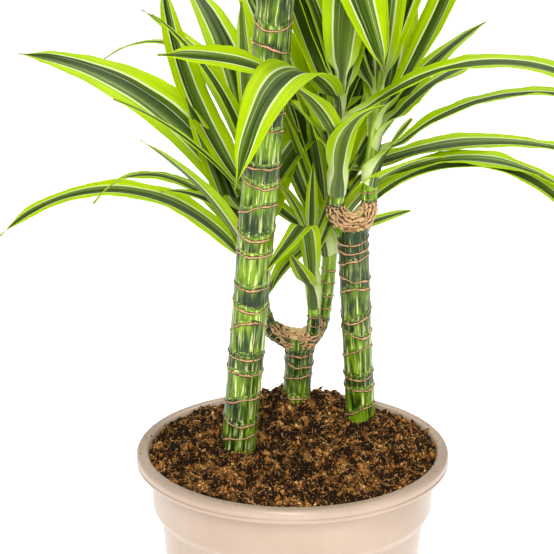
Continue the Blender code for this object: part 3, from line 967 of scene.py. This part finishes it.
def barkMesh(name, line, radii, rings, look, seed):
    # A stem whose rows of points follow its leaf scars. Its line runs upward, and each scar is given
    # by how far along it lies, in metres, at its left, front and right.
    rng = random.Random(seed)
    columns = look["columns"]
    turns = np.linspace(0, 2 * np.pi, columns, endpoint=False)
    steps = runAlong(line)
    length = steps[-1]
    lines, swells, scars, tones, bands, cuts = [], [], [], [], [], []

    def addRow(place, swell=0.0, scar=0.0, tone=0.0, band=0.5, cut=0.0):
        lines.append(np.broadcast_to(place, columns))
        swells.append(np.broadcast_to(swell, columns))
        for store, value in ((scars, scar), (tones, tone), (bands, band), (cuts, cut)):
            store.append(np.broadcast_to(value, columns))

    scarLines = []
    for left, front, right in rings:
        middle, tilt = (left + right) / 2, (right - left) / 2
        wave = waver(turns, rng, look["waver"])
        fine = waver(turns, rng, look["waver"] * 0.34, 16)
        scarLines.append(middle + tilt * np.cos(turns) + (middle - front) * np.sin(turns) + wave + fine)
    half, skirt = look["scarHalf"], scarProfile[-1][0]
    before = np.zeros(columns)
    addRow(before, tone=0.2)
    for number, scarLine in enumerate([*scarLines, np.full(columns, length)]):
        last = number == len(scarLines)
        thick = 1.0 + np.clip(waver(turns, rng, 0.42, 9), -0.4, 0.5)
        ridge = 1.0 + waver(turns, rng, 0.34, 22)
        gap = float(np.mean(scarLine - before))
        tone = float(smooth(gap, *look["toneGap"])) * rng.uniform(0.65, 1.0) + rng.uniform(0, 0.12)
        tone *= 1 - 0.55 * float(smooth(float(np.mean(before)), *look["dims"]))
        rows = max(3, int(gap / look["rowStep"]))
        below = scarLine - (0 if last else skirt * half * thick)
        for i in range(1, rows):
            share = i / rows
            hollow = -look["waist"] * math.sin(math.pi * share)
            addRow(before + (below - before) * share, hollow, 0.0, tone, share)
        if last:
            break
        for offset, rise, mark in scarProfile:
            swell = rise * look["scarRise"] * (ridge if rise > 0.5 else 1.0)
            side = 1.0 if offset < 0 else 0.0
            addRow(scarLine + offset * half * thick, swell, mark * (0.8 + 0.25 * ridge), tone, side)
        before = scarLine + skirt * half * thick
    rowTotal = len(lines)
    lines, swells = np.array(lines), np.array(swells)
    reached = np.clip(lines.ravel(), 0, length)
    place = through(line, steps, reached).reshape(rowTotal, columns, 3)
    ahead = unit(through(np.gradient(line, axis=0), steps, reached)).reshape(rowTotal, columns, 3)
    right = unit(np.array([1.0, 0, 0]) - ahead * ahead[..., :1])
    back = np.cross(ahead, right)
    radius = through(radii, steps, reached).reshape(rowTotal, columns) + swells
    cosine, sine = np.cos(turns), np.sin(turns)
    out = right * cosine[None, :, None] + back * sine[None, :, None]
    lumps = 1 + look["lumps"] * np.sin(2 * turns + 1.3 + lines * 60)
    lumps = lumps + look["lumps"] * 0.6 * np.sin(3 * turns - lines * 45)
    tip, tipAhead = line[-1], unit(line[-1] - line[-2])
    crownRows = []
    for share, rise in crownProfile:
        ringOut = out[-1] * (radius[-1] * lumps[-1] * share)[:, None]
        cracks = (0.0005 * np.sin(7 * turns + share * 9))[:, None] * (share > 0.1)
        crownRows.append(tip + ringOut + tipAhead * (rise + cracks))
        for store, value in ((scars, 0.0), (tones, 0.2), (bands, 0.5), (cuts, 1.0)):
            store.append(np.full(columns, value))
    grid = np.concatenate([place + out * (radius * lumps)[..., None], np.array(crownRows)])
    total = len(grid)
    around = np.zeros((total, columns, 3))
    around[..., 0], around[..., 1] = cosine, sine
    around[:rowTotal, :, 2] = lines
    around[rowTotal:, :, 2] = length + 0.001 * np.arange(total - rowTotal)[:, None]
    points = grid.reshape(-1, 3)
    faces = []
    for low in range(0, (total - 1) * columns, columns):
        for j in range(columns):
            k, high = (j + 1) % columns, low + columns
            faces.append((low + j, low + k, high + k, high + j))
    faces.append(tuple(range(columns))[::-1])
    faces.append(tuple((total - 1) * columns + j for j in range(columns)))
    height = around[..., 2]
    youngAt = look.get("young", (9, 10))
    attributes = {
        "around": around.reshape(-1, 3),
        "scar": np.array(scars).ravel(),
        "tone": np.array(tones).ravel(),
        "band": np.array(bands).ravel(),
        "cut": np.array(cuts).ravel() * look.get("cut", 1.0),
        "young": smooth(height, *youngAt).ravel(),
        "girth": np.full(len(points), look["girth"]),
    }
    return meshOf(name, points, faces, barkMaterial, attributes)


barkMaterial = makeBarkMaterial()

# Heights of the leaf scars on each cane, in millimetres above the floor, at the left, the front and
# the right.
caneLook = {
    "cane_tall": {
        "seed": 11,
        "scars": (
            (216, 219, 218), (229, 233, 235), (249, 243, 247), (259, 264, 266), (288, 285, 286),
            (301, 297, 300), (316, 327, 320), (343, 335, 341), (355, 353, 356), (381, 379, 382),
            (399, 391, 399), (409, 417, 417), (439, 432, 435), (448, 446, 449), (476, 474, 476),
            (488, 487, 488), (505, 508, 506), (517, 513, 518), (538, 535, 531), (556, 548, 556),
            (572, 577, 572), (583, 581, 586), (607, 603, 605), (619, 616, 617), (642, 646, 641),
            (655, 653, 657), (670, 668, 671),
        ),
    },
    "cane_right": {
        "seed": 5,
        "scars": (
            (225, 233, 235), (252, 249, 251), (262, 259, 263), (277, 284, 284), (301, 295, 297),
            (311, 307, 317), (329, 335, 331), (346, 341, 342), (354, 358, 361), (367, 364, 368),
            (374, 371, 376),
        ),
    },
    "cane_rear": {
        "seed": 8,
        "scars": (
            (238, 235, 237), (249, 254, 254), (266, 262, 264), (273, 271, 275),
        ),
    },
}
caneUsual = {
    "columns": 88,
    "waver": 0.0007,
    "scarHalf": 0.00095,
    "scarRise": 0.0007,
    "toneGap": (0.007, 0.020),
    "dims": (0.30, 0.50),  # metres up a cane over which its bark darkens
    "rowStep": 0.0028,
    "waist": 0.0002,
    "lumps": 0.008,
    "girth": 1.0,
}


def makeCanes():
    for node, look in caneLook.items():
        line, radii = stemLines[node]
        steps = runAlong(line)
        rings = [[float(np.interp(h / 1000, line[:, 2], steps)) for h in scar] for scar in look["scars"]]
        mesh = barkMesh(node, line, radii, rings, caneUsual, look["seed"])
        addPiece("bark_" + node, mesh, [node], 55)
    print("canes done")


makeCanes()

# Each shoot's stem: where its ring scars sit, in millimetres along it, and the stretch, in metres,
# over which it pales into the leafy part.
stemLook = {
    "rear_left": {"scars": (9, 14, 18, 23, 29, 36, 45), "young": (0.030, 0.062)},
    "rear_tall": {"scars": (14, 20, 27, 36, 47, 58, 68), "young": (0.040, 0.080)},
    "rear_front": {"scars": (12, 16, 20, 28, 35), "young": (0.032, 0.055)},
    "right_left": {"scars": (14, 18, 22, 27, 36), "young": (0.030, 0.050)},
    "right_right": {"scars": (13, 18, 22, 27, 36), "young": (0.030, 0.056)},
    "tall_left": {"scars": (17, 25, 34, 46, 58, 66, 75), "young": (0.055, 0.085)},
    "tall_right": {"scars": (17, 25, 34, 46, 58, 67, 78), "young": (0.055, 0.085)},
}
stemUsual = {
    **caneUsual,
    "columns": 56,
    "waver": 0.0004,
    "scarHalf": 0.0006,
    "scarRise": 0.0005,
    "toneGap": (0.003, 0.010),
    "rowStep": 0.0022,
    "waist": 0.0001,
    "girth": 0.5,
    "cut": 0.0,
}


def makeStems():
    for number, (shoot, look) in enumerate(stemLook.items()):
        line, radii = stemLines[shoot]
        rng = random.Random(40 + number)
        rings = []
        for scar in look["scars"]:
            tilt, sag = rng.uniform(-0.0012, 0.0012), rng.uniform(0, 0.0012)
            rings.append((scar / 1000 + tilt, scar / 1000 - sag, scar / 1000 - tilt))
        mesh = barkMesh("stem", line, radii, rings, {**stemUsual, "young": look["young"]}, 70 + number)
        addPiece("stem_" + shoot, mesh, ["shoot_" + shoot], 55)
    print("stems done")


makeStems()


# Where the shoots leave their cane: chains of balls (x, y, z, radius) that are melted together, and
# the middle that the cork's wrinkles run round.
corkLook = {
    "cane_right": {
        "chains": (
            (
                (0.0462, 0.062, 0.3825, 0.0108), (0.0462, 0.0615, 0.3855, 0.009),
            ),
            (
                (0.0435, 0.0618, 0.385, 0.0098), (0.0385, 0.061, 0.3885, 0.009),
                (0.0345, 0.061, 0.3925, 0.0082), (0.033, 0.061, 0.397, 0.0074),
            ),
            (
                (0.049, 0.063, 0.385, 0.0096), (0.0545, 0.066, 0.389, 0.0086),
                (0.058, 0.069, 0.3935, 0.0077), (0.059, 0.07, 0.3975, 0.007),
            ),
        ),
        "middle": (0.0462, 0.06, 0.401),
    },
    "cane_rear": {
        "chains": (
            (
                (0.0065, 0.083, 0.28, 0.011), (0.0065, 0.0825, 0.2835, 0.0085),
            ),
            (
                (0.003, 0.083, 0.2815, 0.0104), (-0.003, 0.083, 0.2845, 0.0086),
                (-0.0095, 0.084, 0.287, 0.0076), (-0.0145, 0.0845, 0.291, 0.0068),
            ),
            (
                (0.01, 0.08, 0.283, 0.0092), (0.0135, 0.0745, 0.287, 0.0076),
                (0.0155, 0.0705, 0.2915, 0.0064),
            ),
            (
                (0.011, 0.085, 0.283, 0.0092), (0.0165, 0.0895, 0.2865, 0.0078),
                (0.0205, 0.093, 0.2915, 0.0068),
            ),
        ),
        "middle": (0.002, 0.081, 0.302),
    },
    "cane_tall": {
        "chains": (
            (
                (-0.0036, 0.002, 0.674, 0.0136), (-0.0036, 0.002, 0.68, 0.0112),
            ),
            (
                (-0.008, 0.002, 0.675, 0.0126), (-0.017, 0.0, 0.677, 0.0108),
                (-0.024, -0.0015, 0.683, 0.01),
            ),
            (
                (0.001, 0.003, 0.676, 0.0126), (0.01, 0.0065, 0.679, 0.0108),
                (0.016, 0.0095, 0.686, 0.0098),
            ),
        ),
        "middle": (-0.0036, 0.0, 0.698),
    },
}


def makeCorkMaterial():
    material, tree = newMaterial("cork")
    place = tree.node("ShaderNodeTexCoord")["Object"]
    fold, lifted = tree.attribute("fold"), tree.attribute("lifted")
    crack = tree.noise(place, 520.0, 4, 0.7)["Fac"]
    broad = tree.noise(place, 130.0, 3)["Fac"]
    tone = fold * 0.72 + crack * 0.28
    colour = tree.mix(tree.step(tone, 0.22, 0.52), barkLook["scarDark"], barkLook["scar"])
    colour = tree.mix(lifted * tree.step(broad, 0.30, 0.55) * 0.85, colour, barkLook["cut"])
    colour = tree.mix(tree.step(crack, 0.62, 0.70) * 0.5, colour, barkLook["cutDark"])
    bare = tree.step(broad, 0.60, 0.64) * (1.0 - lifted)
    colour = tree.mix(bare * 0.9, colour, barkLook["mid"])
    finish = {"Base Color": colour, "Roughness": 0.72 - bare * 0.3}
    tree.output(tree.finish(finish, crack + fold, 0.0009, 0.9))
    return material


corkUsual = {"voxel": 0.0008, "wrinkleGap": 0.0029, "wrinkle": 0.0013, "scale": 0.0006, "grit": 0.0004}


def meltedBalls(chains):
    shape = bmesh.new()
    for chain in chains:
        for first, second in zip(chain, chain[1:]):
            for share in (0, 0.5, 1):
                *middle, radius = (a + (b - a) * share for a, b in zip(first, second))
                place = Matrix.Translation(middle)
                bmesh.ops.create_icosphere(shape, subdivisions=2, radius=radius, matrix=place)
    mesh = bpy.data.meshes.new("balls")
    shape.to_mesh(mesh)
    shape.free()
    lump = bpy.data.objects.new("balls", mesh)
    bpy.context.scene.collection.objects.link(lump)
    melt = lump.modifiers.new("Melt", "REMESH")
    melt.mode = "VOXEL"
    melt.voxel_size = corkUsual["voxel"]
    soften = lump.modifiers.new("Soften", "SMOOTH")
    soften.iterations = 4
    return settled(lump)


def makeCork():
    corkMaterial = makeCorkMaterial()
    for fork, look in corkLook.items():
        made = meltedBalls(look["chains"])
        middle = Vector(look["middle"])
        folds, lifts = [], []
        for point in made.vertices:
            place, normal = point.co.copy(), point.normal.copy()
            gap = (place - middle).length
            wobble = noise.fractal(place * 130, 0.6, 2.0, 3)
            fold = 0.5 + 0.5 * math.sin(gap * 2 * math.pi / corkUsual["wrinkleGap"] + wobble * 5.5)
            rough = noise.fractal(place * 520, 0.7, 2.0, 3)
            # the saddle between the shoots, where the cane's cut top shows paler and smoother
            saddle = float(smooth(0.011 - abs(place.x - middle.x), 0.0, 0.004))
            lifted = float(smooth(normal.z, 0.45, 0.85)) * saddle
            raised = (fold - 0.5) * corkUsual["wrinkle"] * (1 - lifted * 0.6)
            raised = raised + rough * corkUsual["grit"] + wobble * corkUsual["scale"]
            point.co = place + normal * raised
            folds.append(fold)
            lifts.append(lifted)
        for label, values in (("fold", folds), ("lifted", lifts)):
            store = made.attributes.new(label, "FLOAT", "POINT")
            store.data.foreach_set("value", np.array(values, np.float32))
        made.materials.clear()
        made.materials.append(corkMaterial)
        addPiece("cork_" + fork, made, (), None)
    print("cork done:", len(corkLook))


makeCork()


soilLook = {
    "edge": 0.2218,
    "rim": 0.1100,
    "columns": 300,
    "rings": 100,
    "mounds": (  # x, y, height and reach
        (0.002, 0.088, 0.0130, 0.026), (0.036, 0.095, 0.0110, 0.013), (-0.024, 0.096, 0.0080, 0.013),
        (-0.078, 0.035, 0.004, 0.026), (0.085, 0.020, 0.003, 0.030), (0.030, -0.060, 0.002, 0.030),
        (-0.062, -0.022, 0.004, 0.016), (-0.020, -0.045, 0.003, 0.018), (0.020, 0.020, 0.003, 0.020),
        (-0.043, 0.000, -0.004, 0.017),
    ),
    "sides": (  # radius and height, down the inside of the pot's wall to its floor
        (0.1078, 0.2160), (0.1062, 0.2108), (0.1052, 0.1780), (0.0996, 0.1720), (0.0988, 0.1690),
        (0.0858, 0.0072), (0.0836, 0.0040), (0.04, 0.0039),
    ),
    "dark": linear(30, 17, 6),
    "brown": linear(170, 112, 52),
    "light": linear(250, 202, 128),
    "fibre": linear(238, 194, 124),
    "gold": linear(252, 222, 134),
}


def makeSoilMaterial():
    material, tree = newMaterial("peat")
    place = tree.node("ShaderNodeTexCoord")["Object"]
    shade, pale = tree.attribute("shade"), tree.attribute("pale")
    lumps = tree.noise(place, 160.0, 5, 0.7)["Fac"]
    grit = tree.noise(place, 700.0, 3, 0.7)["Fac"]
    broad = tree.noise(place, 74.0, 3, 0.6)["Fac"]
    tone = (lumps * 0.60 + shade * 0.46 + (broad - 0.5) * 1.0).least(1.0).most(0.0)
    colour = tree.mix(tree.step(tone, 0.30, 0.62), soilLook["dark"], soilLook["brown"])
    colour = tree.mix(tree.step(tone * 0.6 + grit * 0.4, 0.56, 0.68) * 0.9, colour, soilLook["light"])
    colour = tree.mix(tree.step(pale, 0.25, 0.95) * 0.85, colour, soilLook["fibre"])
    colour = tree.mix(tree.step(shade, 0.965, 0.975) * 0.9, colour, soilLook["gold"])
    finish = {"Base Color": colour, "Roughness": 0.82, "Specular IOR Level": 0.12}
    tree.output(tree.finish(finish, lumps + grit * 0.4, 0.0012, 0.9))
    return material


soilMaterial = makeSoilMaterial()


def soilHeight(x, y):
    heaped = 0
    for moundX, moundY, high, spread in soilLook["mounds"]:
        heaped += high * math.exp(-((x - moundX) ** 2 + (y - moundY) ** 2) / (2 * spread * spread))
    # 0 at the wall, where the relief dies out, to 1 a little way in
    edge = min(1.0, max(0.0, (0.112 - math.hypot(x, y)) / 0.025))
    rough = noise.fractal(Vector((x, y, 0.3)) * 52, 0.6, 2.1, 5) * 0.0050
    clods = noise.fractal(Vector((x, y, 1.9)) * 150, 0.7, 2.0, 3) * 0.0042
    return soilLook["edge"] + heaped * (0.25 + 0.75 * edge) + rough * (0.4 + 0.6 * edge) + clods


def makeSoil():
    columns, rings = soilLook["columns"], soilLook["rings"]
    points = [(0, 0, soilHeight(0, 0))]
    for i in range(1, rings + 1):
        ring = ringPoints(soilLook["rim"] * (i / rings) ** 0.9, 0, columns)
        points += [(x, y, soilHeight(x, y)) for x, y, _ in ring]
    for reach, height in soilLook["sides"]:
        points += ringPoints(reach, height, columns)
    points.append((0, 0, soilLook["sides"][-1][1]))
    mesh = meshOf("soilBody", points, turnedFaces(points, columns), soilMaterial)
    addPiece("soil_body", mesh, ["soil", "soil_heap"])
    print("soil done")


makeSoil()


def scatteredDots(tree, source):
    spread = {"Mesh": source["Geometry"], "Density": source["Density"], "Seed": source["Seed"]}
    return tree.node("GeometryNodeDistributePointsOnFaces", {}, spread)["Points"]


def makeGritTree():
    # Scatters lumps of peat over a surface.
    tree, source = groupTree(
        "peatCrumbs",
        {
            "Density": ("Float", 1000.0),
            "Smallest": ("Float", 0.001),
            "Largest": ("Float", 0.003),
            "Sides": ("Int", 3),
            "Lift": ("Float", 0.0),
            "Brightest": ("Float", 1.0),
            "Seed": ("Int", 1),
            "Material": ("Material", None),
        },
    )
    dots = scatteredDots(tree, source)
    shapes = []
    for i in range(4):
        sides = {"Vertices " + axis: source["Sides"] for axis in "XYZ"}
        cube = tree.node("GeometryNodeMeshCube", {}, sides)["Mesh"]
        place = tree.node("GeometryNodeInputPosition")
        ball = tree.node("ShaderNodeVectorMath", {"operation": "NORMALIZE"}, {0: place})
        rough = tree.noise(ball + (7.3 * i, 1.1 * i, 3.0), 1.4, 3, 0.7)["Fac"]
        spot = ball * (rough * 2.1 - 0.45) * (1.1, 0.45 + 0.12 * i, 0.5 + 0.08 * i)
        shapes.append(tree.node("GeometryNodeSetPosition", {}, {"Geometry": cube, "Position": spot}))
    forms = tree.node("GeometryNodeGeometryToInstance", {}, {"Geometry": shapes})
    seed = source["Seed"]
    share = tree.chance(0.0, 1.0, seed + 3) ** 2.2  # most crumbs are small
    size = source["Smallest"] + (source["Largest"] - source["Smallest"]) * share
    turn = tree.chance((0, 0, 0), (6.28, 6.28, 6.28), seed + 5, "FLOAT_VECTOR")
    placed = tree.node(
        "GeometryNodeInstanceOnPoints",
        {},
        {"Points": dots, "Instance": forms, "Pick Instance": True, "Rotation": turn, "Scale": size},
    )
    shade = tree.chance(0.0, source["Brightest"], seed + 8)
    shaded = tree.store(placed, "shade", shade, "INSTANCE")
    rise = tree.join(0.0, 0.0, size * source["Lift"])
    moved = {"Instances": shaded, "Translation": rise, "Local Space": False}
    lifted = tree.node("GeometryNodeTranslateInstances", {}, moved)
    closeGroup(tree, lifted, source["Material"])
    return tree


def makeFibreTree():
    # Scatters short bent root fibres over a surface.
    tree, source = groupTree(
        "peatFibres",
        {
            "Density": ("Float", 1000.0),
            "Shortest": ("Float", 0.004),
            "Longest": ("Float", 0.012),
            "Thickness": ("Float", 0.03),
            "Tilt": ("Float", 0.4),
            "Seed": ("Int", 1),
            "Material": ("Material", None),
        },
    )
    dots = scatteredDots(tree, source)
    shapes = []
    straight = {"Count": 7, "Start Location": (-0.5, 0, 0), "Offset": (1 / 6, 0, 0)}
    for i in range(4):
        line = tree.node("GeometryNodeMeshLine", {}, straight)
        place = tree.node("GeometryNodeInputPosition")
        bend = (tree.noise(place + (3.1 * i, 0.4, 1.7 * i), 1.5, 2)["Color"] - (0.5, 0.5, 0.5)) * 1.1
        moved = tree.node("GeometryNodeSetPosition", {}, {"Geometry": line, "Offset": bend})
        curve = tree.node("GeometryNodeMeshToCurve", {}, {"Mesh": moved})
        outline = {"Resolution": 3, "Radius": source["Thickness"]}
        ring = tree.node("GeometryNodeCurvePrimitiveCircle", {}, outline)["Curve"]
        swept = {"Curve": curve, "Profile Curve": ring, "Fill Caps": True}
        shapes.append(tree.node("GeometryNodeCurveToMesh", {}, swept))
    forms = tree.node("GeometryNodeGeometryToInstance", {}, {"Geometry": shapes})
    seed, tilt = source["Seed"], source["Tilt"]
    pitch = tree.chance(-tilt, tilt, seed + 4)
    turn = tree.join(tree.chance(0.0, 6.28, seed + 2), pitch, tree.chance(0.0, 6.28, seed + 6))
    length = tree.chance(source["Shortest"], source["Longest"], seed + 9)
    placed = tree.node(
        "GeometryNodeInstanceOnPoints",
        {},
        {"Points": dots, "Instance": forms, "Pick Instance": True, "Rotation": turn, "Scale": length},
    )
    shaded = tree.store(placed, "pale", tree.chance(0.0, 1.0, seed + 8) ** 2.2, "INSTANCE")
    closeGroup(tree, shaded, source["Material"])
    return tree


# What is strewn on the soil, and the few crumbs on the pot's lip. Density is in pieces per square
# metre, sizes are in metres, and a fibre's thickness and tilt are a share of its length and radians.
crumbLook = {
    "crumbs_coarse": {"Density": 34000.0, "Smallest": 0.0012, "Largest": 0.0042, "Lift": 0.1},
    "crumbs_middling": {"Density": 75000.0, "Smallest": 0.0008, "Largest": 0.0022, "Lift": 0.3},
    "crumbs_fine": {"Density": 295000.0, "Smallest": 0.0004, "Largest": 0.0010, "Lift": 0.5},
    "crumbs_lip": {"Density": 26000.0, "Smallest": 0.0002, "Largest": 0.0016, "Lift": 0.2},
}
crumbMore = {  # corners along each edge of a crumb, the palest that one may be, and the seed
    "crumbs_coarse": {"Sides": 3, "Brightest": 0.62, "Seed": 3},
    "crumbs_middling": {"Sides": 3, "Brightest": 0.80, "Seed": 14},
    "crumbs_fine": {"Sides": 2, "Seed": 27},
    "crumbs_lip": {"Sides": 2, "Seed": 31},
}
fibreLook = {
    "fibres_short": {"Density": 90000.0, "Shortest": 0.0020, "Longest": 0.0056, "Thickness": 0.040},
    "fibres_fine": {"Density": 36000.0, "Shortest": 0.0035, "Longest": 0.0090, "Thickness": 0.024},
    "fibres_long": {"Density": 5200.0, "Shortest": 0.007, "Longest": 0.017, "Thickness": 0.018},
}
fibreMore = {
    "fibres_short": {"Tilt": 0.9, "Seed": 5},
    "fibres_fine": {"Tilt": 0.5, "Seed": 18},
    "fibres_long": {"Tilt": 0.35, "Seed": 9},
}


def soilTop(reach=0.1102, step=0.0022):
    # the soil's surface as an even grid, for things to be strewn on
    count = int(2 * reach / step)
    points, faces, index = [], [], {}
    for i in range(count + 1):
        for j in range(count + 1):
            x, y = -reach + i * step, -reach + j * step
            if math.hypot(x, y) < reach:
                index[i, j] = len(points)
                points.append((x, y, soilHeight(x, y)))
    for i, j in index:
        corners = [(i, j), (i + 1, j), (i + 1, j + 1), (i, j + 1)]
        if all(corner in index for corner in corners):
            faces.append([index[corner] for corner in corners])
    return meshOf("soilTop", points, faces)


def lipTop(columns=120):
    points, faces = [], []
    for reach, height in ((0.1100, 0.2232), (0.1118, 0.2250), (0.1172, 0.2250)):
        points += ringPoints(reach, height, columns)
    for low in (0, columns):
        high = low + columns
        for j in range(columns):
            k = (j + 1) % columns
            faces.append((low + j, high + j, high + k, low + k))
    return meshOf("lipTop", points, faces)


def makeScatter():
    top, lip = soilTop(), lipTop()
    grit, fibre = makeGritTree(), makeFibreTree()
    strewn = [(name, lip if name == "crumbs_lip" else top, grit, crumbLook, crumbMore) for name in crumbLook]
    strewn += [(name, top, fibre, fibreLook, fibreMore) for name in fibreLook]
    for name, surface, tree, look, more in strewn:
        values = {**look[name], **more[name], "Material": soilMaterial}
        mesh = grown(name, surface, tree, values)
        addPiece(name, mesh, (), 60)
        print(name, len(mesh.polygons))


makeScatter()


potLook = {
    "plastic": linear(180, 158, 140),
    "deep": linear(166, 144, 126),
    "dust": linear(130, 102, 78),
    "lip": 0.120,  # radius
    "top": 0.225,
    "floor": 0.0035,
    "columns": 180,
    "holes": 5,
    "holeRing": 0.055,
    "holeRadius": 0.005,
}


def makePotMaterial():
    material, tree = newMaterial("potPlastic")
    place = tree.node("ShaderNodeTexCoord")["Object"]
    cloud = tree.noise(place, 14.0, 3)["Fac"]
    grain = tree.noise(place, 1400.0, 2)["Fac"]
    drawn = tree.noise(tree.stretched(place, (160.0, 160.0, 5.0)), 1.0, 3)["Fac"]
    dirt = tree.noise(place, 260.0, 4, 0.7)["Fac"]
    lip = tree.step(tree.node("ShaderNodeSeparateXYZ", {}, {0: place})["Z"], 0.2215, 0.2245)
    colour = tree.mix(tree.step(cloud * 0.9 + drawn * 0.1, 0.3, 0.7), potLook["deep"], potLook["plastic"])
    colour = tree.mix(tree.step(dirt, 0.58, 0.72) * (0.12 + lip * 0.45), colour, potLook["dust"])
    rough = 0.26 + cloud * 0.08 + dirt * 0.08
    finish = {"Base Color": colour, "Roughness": rough, "Specular IOR Level": 0.5}
    tree.output(tree.finish(finish, grain * 0.3 + drawn * 0.12, 0.0002, 0.4))
    return material


def potProfile():
    # radius and height, from the middle of the floor's upper side round the lip to the middle of the
    # underside
    lip, top, floor = potLook["lip"], potLook["top"], potLook["floor"]
    corners = [  # radius, height and how much of the corner is rounded off
        (0.0840, floor, 0.001), (0.0862, 0.0065, 0.001),
        # up the inside, over the shoulder's back and out to the lip
        (lip - 0.0204, top - 0.0550, 0.003), (lip - 0.0196, top - 0.0521, 0.001),
        (lip - 0.0142, top - 0.0475, 0.001), (lip - 0.0132, top - 0.0140, 0.002),
        (lip - 0.0095, top - 0.0020, 0.002), (lip - 0.0082, top, 0.0010),
        # the lip, with a groove round its face
        (lip - 0.0020, top, 0.0016), (lip, top - 0.0024, 0.0016),
        (lip - 0.0001, top - 0.0066, 0.0004), (lip - 0.0008, top - 0.0071, 0.0003),
        (lip - 0.0001, top - 0.0076, 0.0004), (lip, top - 0.0094, 0.0010),
        (lip - 0.0014, top - 0.0109, 0.0008), (lip - 0.0106, top - 0.0112, 0.0010),
        # the band, the shoulder under it and the body
        (lip - 0.0112, top - 0.0135, 0.0010), (lip - 0.0118, top - 0.0455, 0.006),
        (lip - 0.0172, top - 0.0512, 0.0030), (lip - 0.0174, top - 0.0528, 0.0006),
        (lip - 0.0184, top - 0.0534, 0.0006), (lip - 0.0186, top - 0.0560, 0.001),
        (0.0885, 0.0040, 0.0012), (0.0865, 0.0000, 0.0008),
    ]
    profile = [(0.0, floor)]
    for before, here, after in zip([(0.0, floor, 0), *corners], corners, [*corners[1:], (0.0, 0.0, 0)]):
        middle = np.array(here[:2])
        toBack, toFront = (np.array(p[:2]) - middle for p in (before, after))
        cut = min(here[2], np.linalg.norm(toBack) * 0.45, np.linalg.norm(toFront) * 0.45)
        start, end = middle + unit(toBack) * cut, middle + unit(toFront) * cut
        for t in (0, 0.25, 0.5, 0.75, 1):
            profile.append(tuple((1 - t) ** 2 * start + 2 * t * (1 - t) * middle + t * t * end))
    return [*profile, (0.0, 0.0)]


def holeBorer(number):
    turn = 2 * math.pi * number / potLook["holes"] + math.radians(18)
    ring, radius = potLook["holeRing"], potLook["holeRadius"]
    middle = (ring * math.cos(turn), ring * math.sin(turn), potLook["floor"] / 2)
    shape = bmesh.new()
    bmesh.ops.create_cone(
        shape, cap_ends=True, segments=32, radius1=radius, radius2=radius, depth=potLook["floor"] * 4
    )
    bmesh.ops.translate(shape, verts=shape.verts, vec=middle)
    mesh = bpy.data.meshes.new("borer")
    shape.to_mesh(mesh)
    shape.free()
    borer = bpy.data.objects.new("borer", mesh)
    bpy.context.scene.collection.objects.link(borer)
    return borer


def makePot():
    columns = potLook["columns"]
    profile = potProfile()
    points = [(0, 0, profile[0][1])]
    for reach, height in profile[1:-1]:
        points += ringPoints(reach, height, columns)
    points.append((0, 0, profile[-1][1]))
    mesh = meshOf("potBody", points, turnedFaces(points, columns), makePotMaterial())
    body = bpy.data.objects.new("potBody", mesh)
    bpy.context.scene.collection.objects.link(body)
    borers = [holeBorer(number) for number in range(potLook["holes"])]
    for borer in borers:
        modifier = body.modifiers.new("Drain", "BOOLEAN")
        modifier.operation = "DIFFERENCE"
        modifier.object = borer
    mesh = settled(body)
    for borer in borers:
        bpy.data.objects.remove(borer)
    addPiece("pot_body", mesh, ["pot"], 40)
    print("pot done")


makePot()
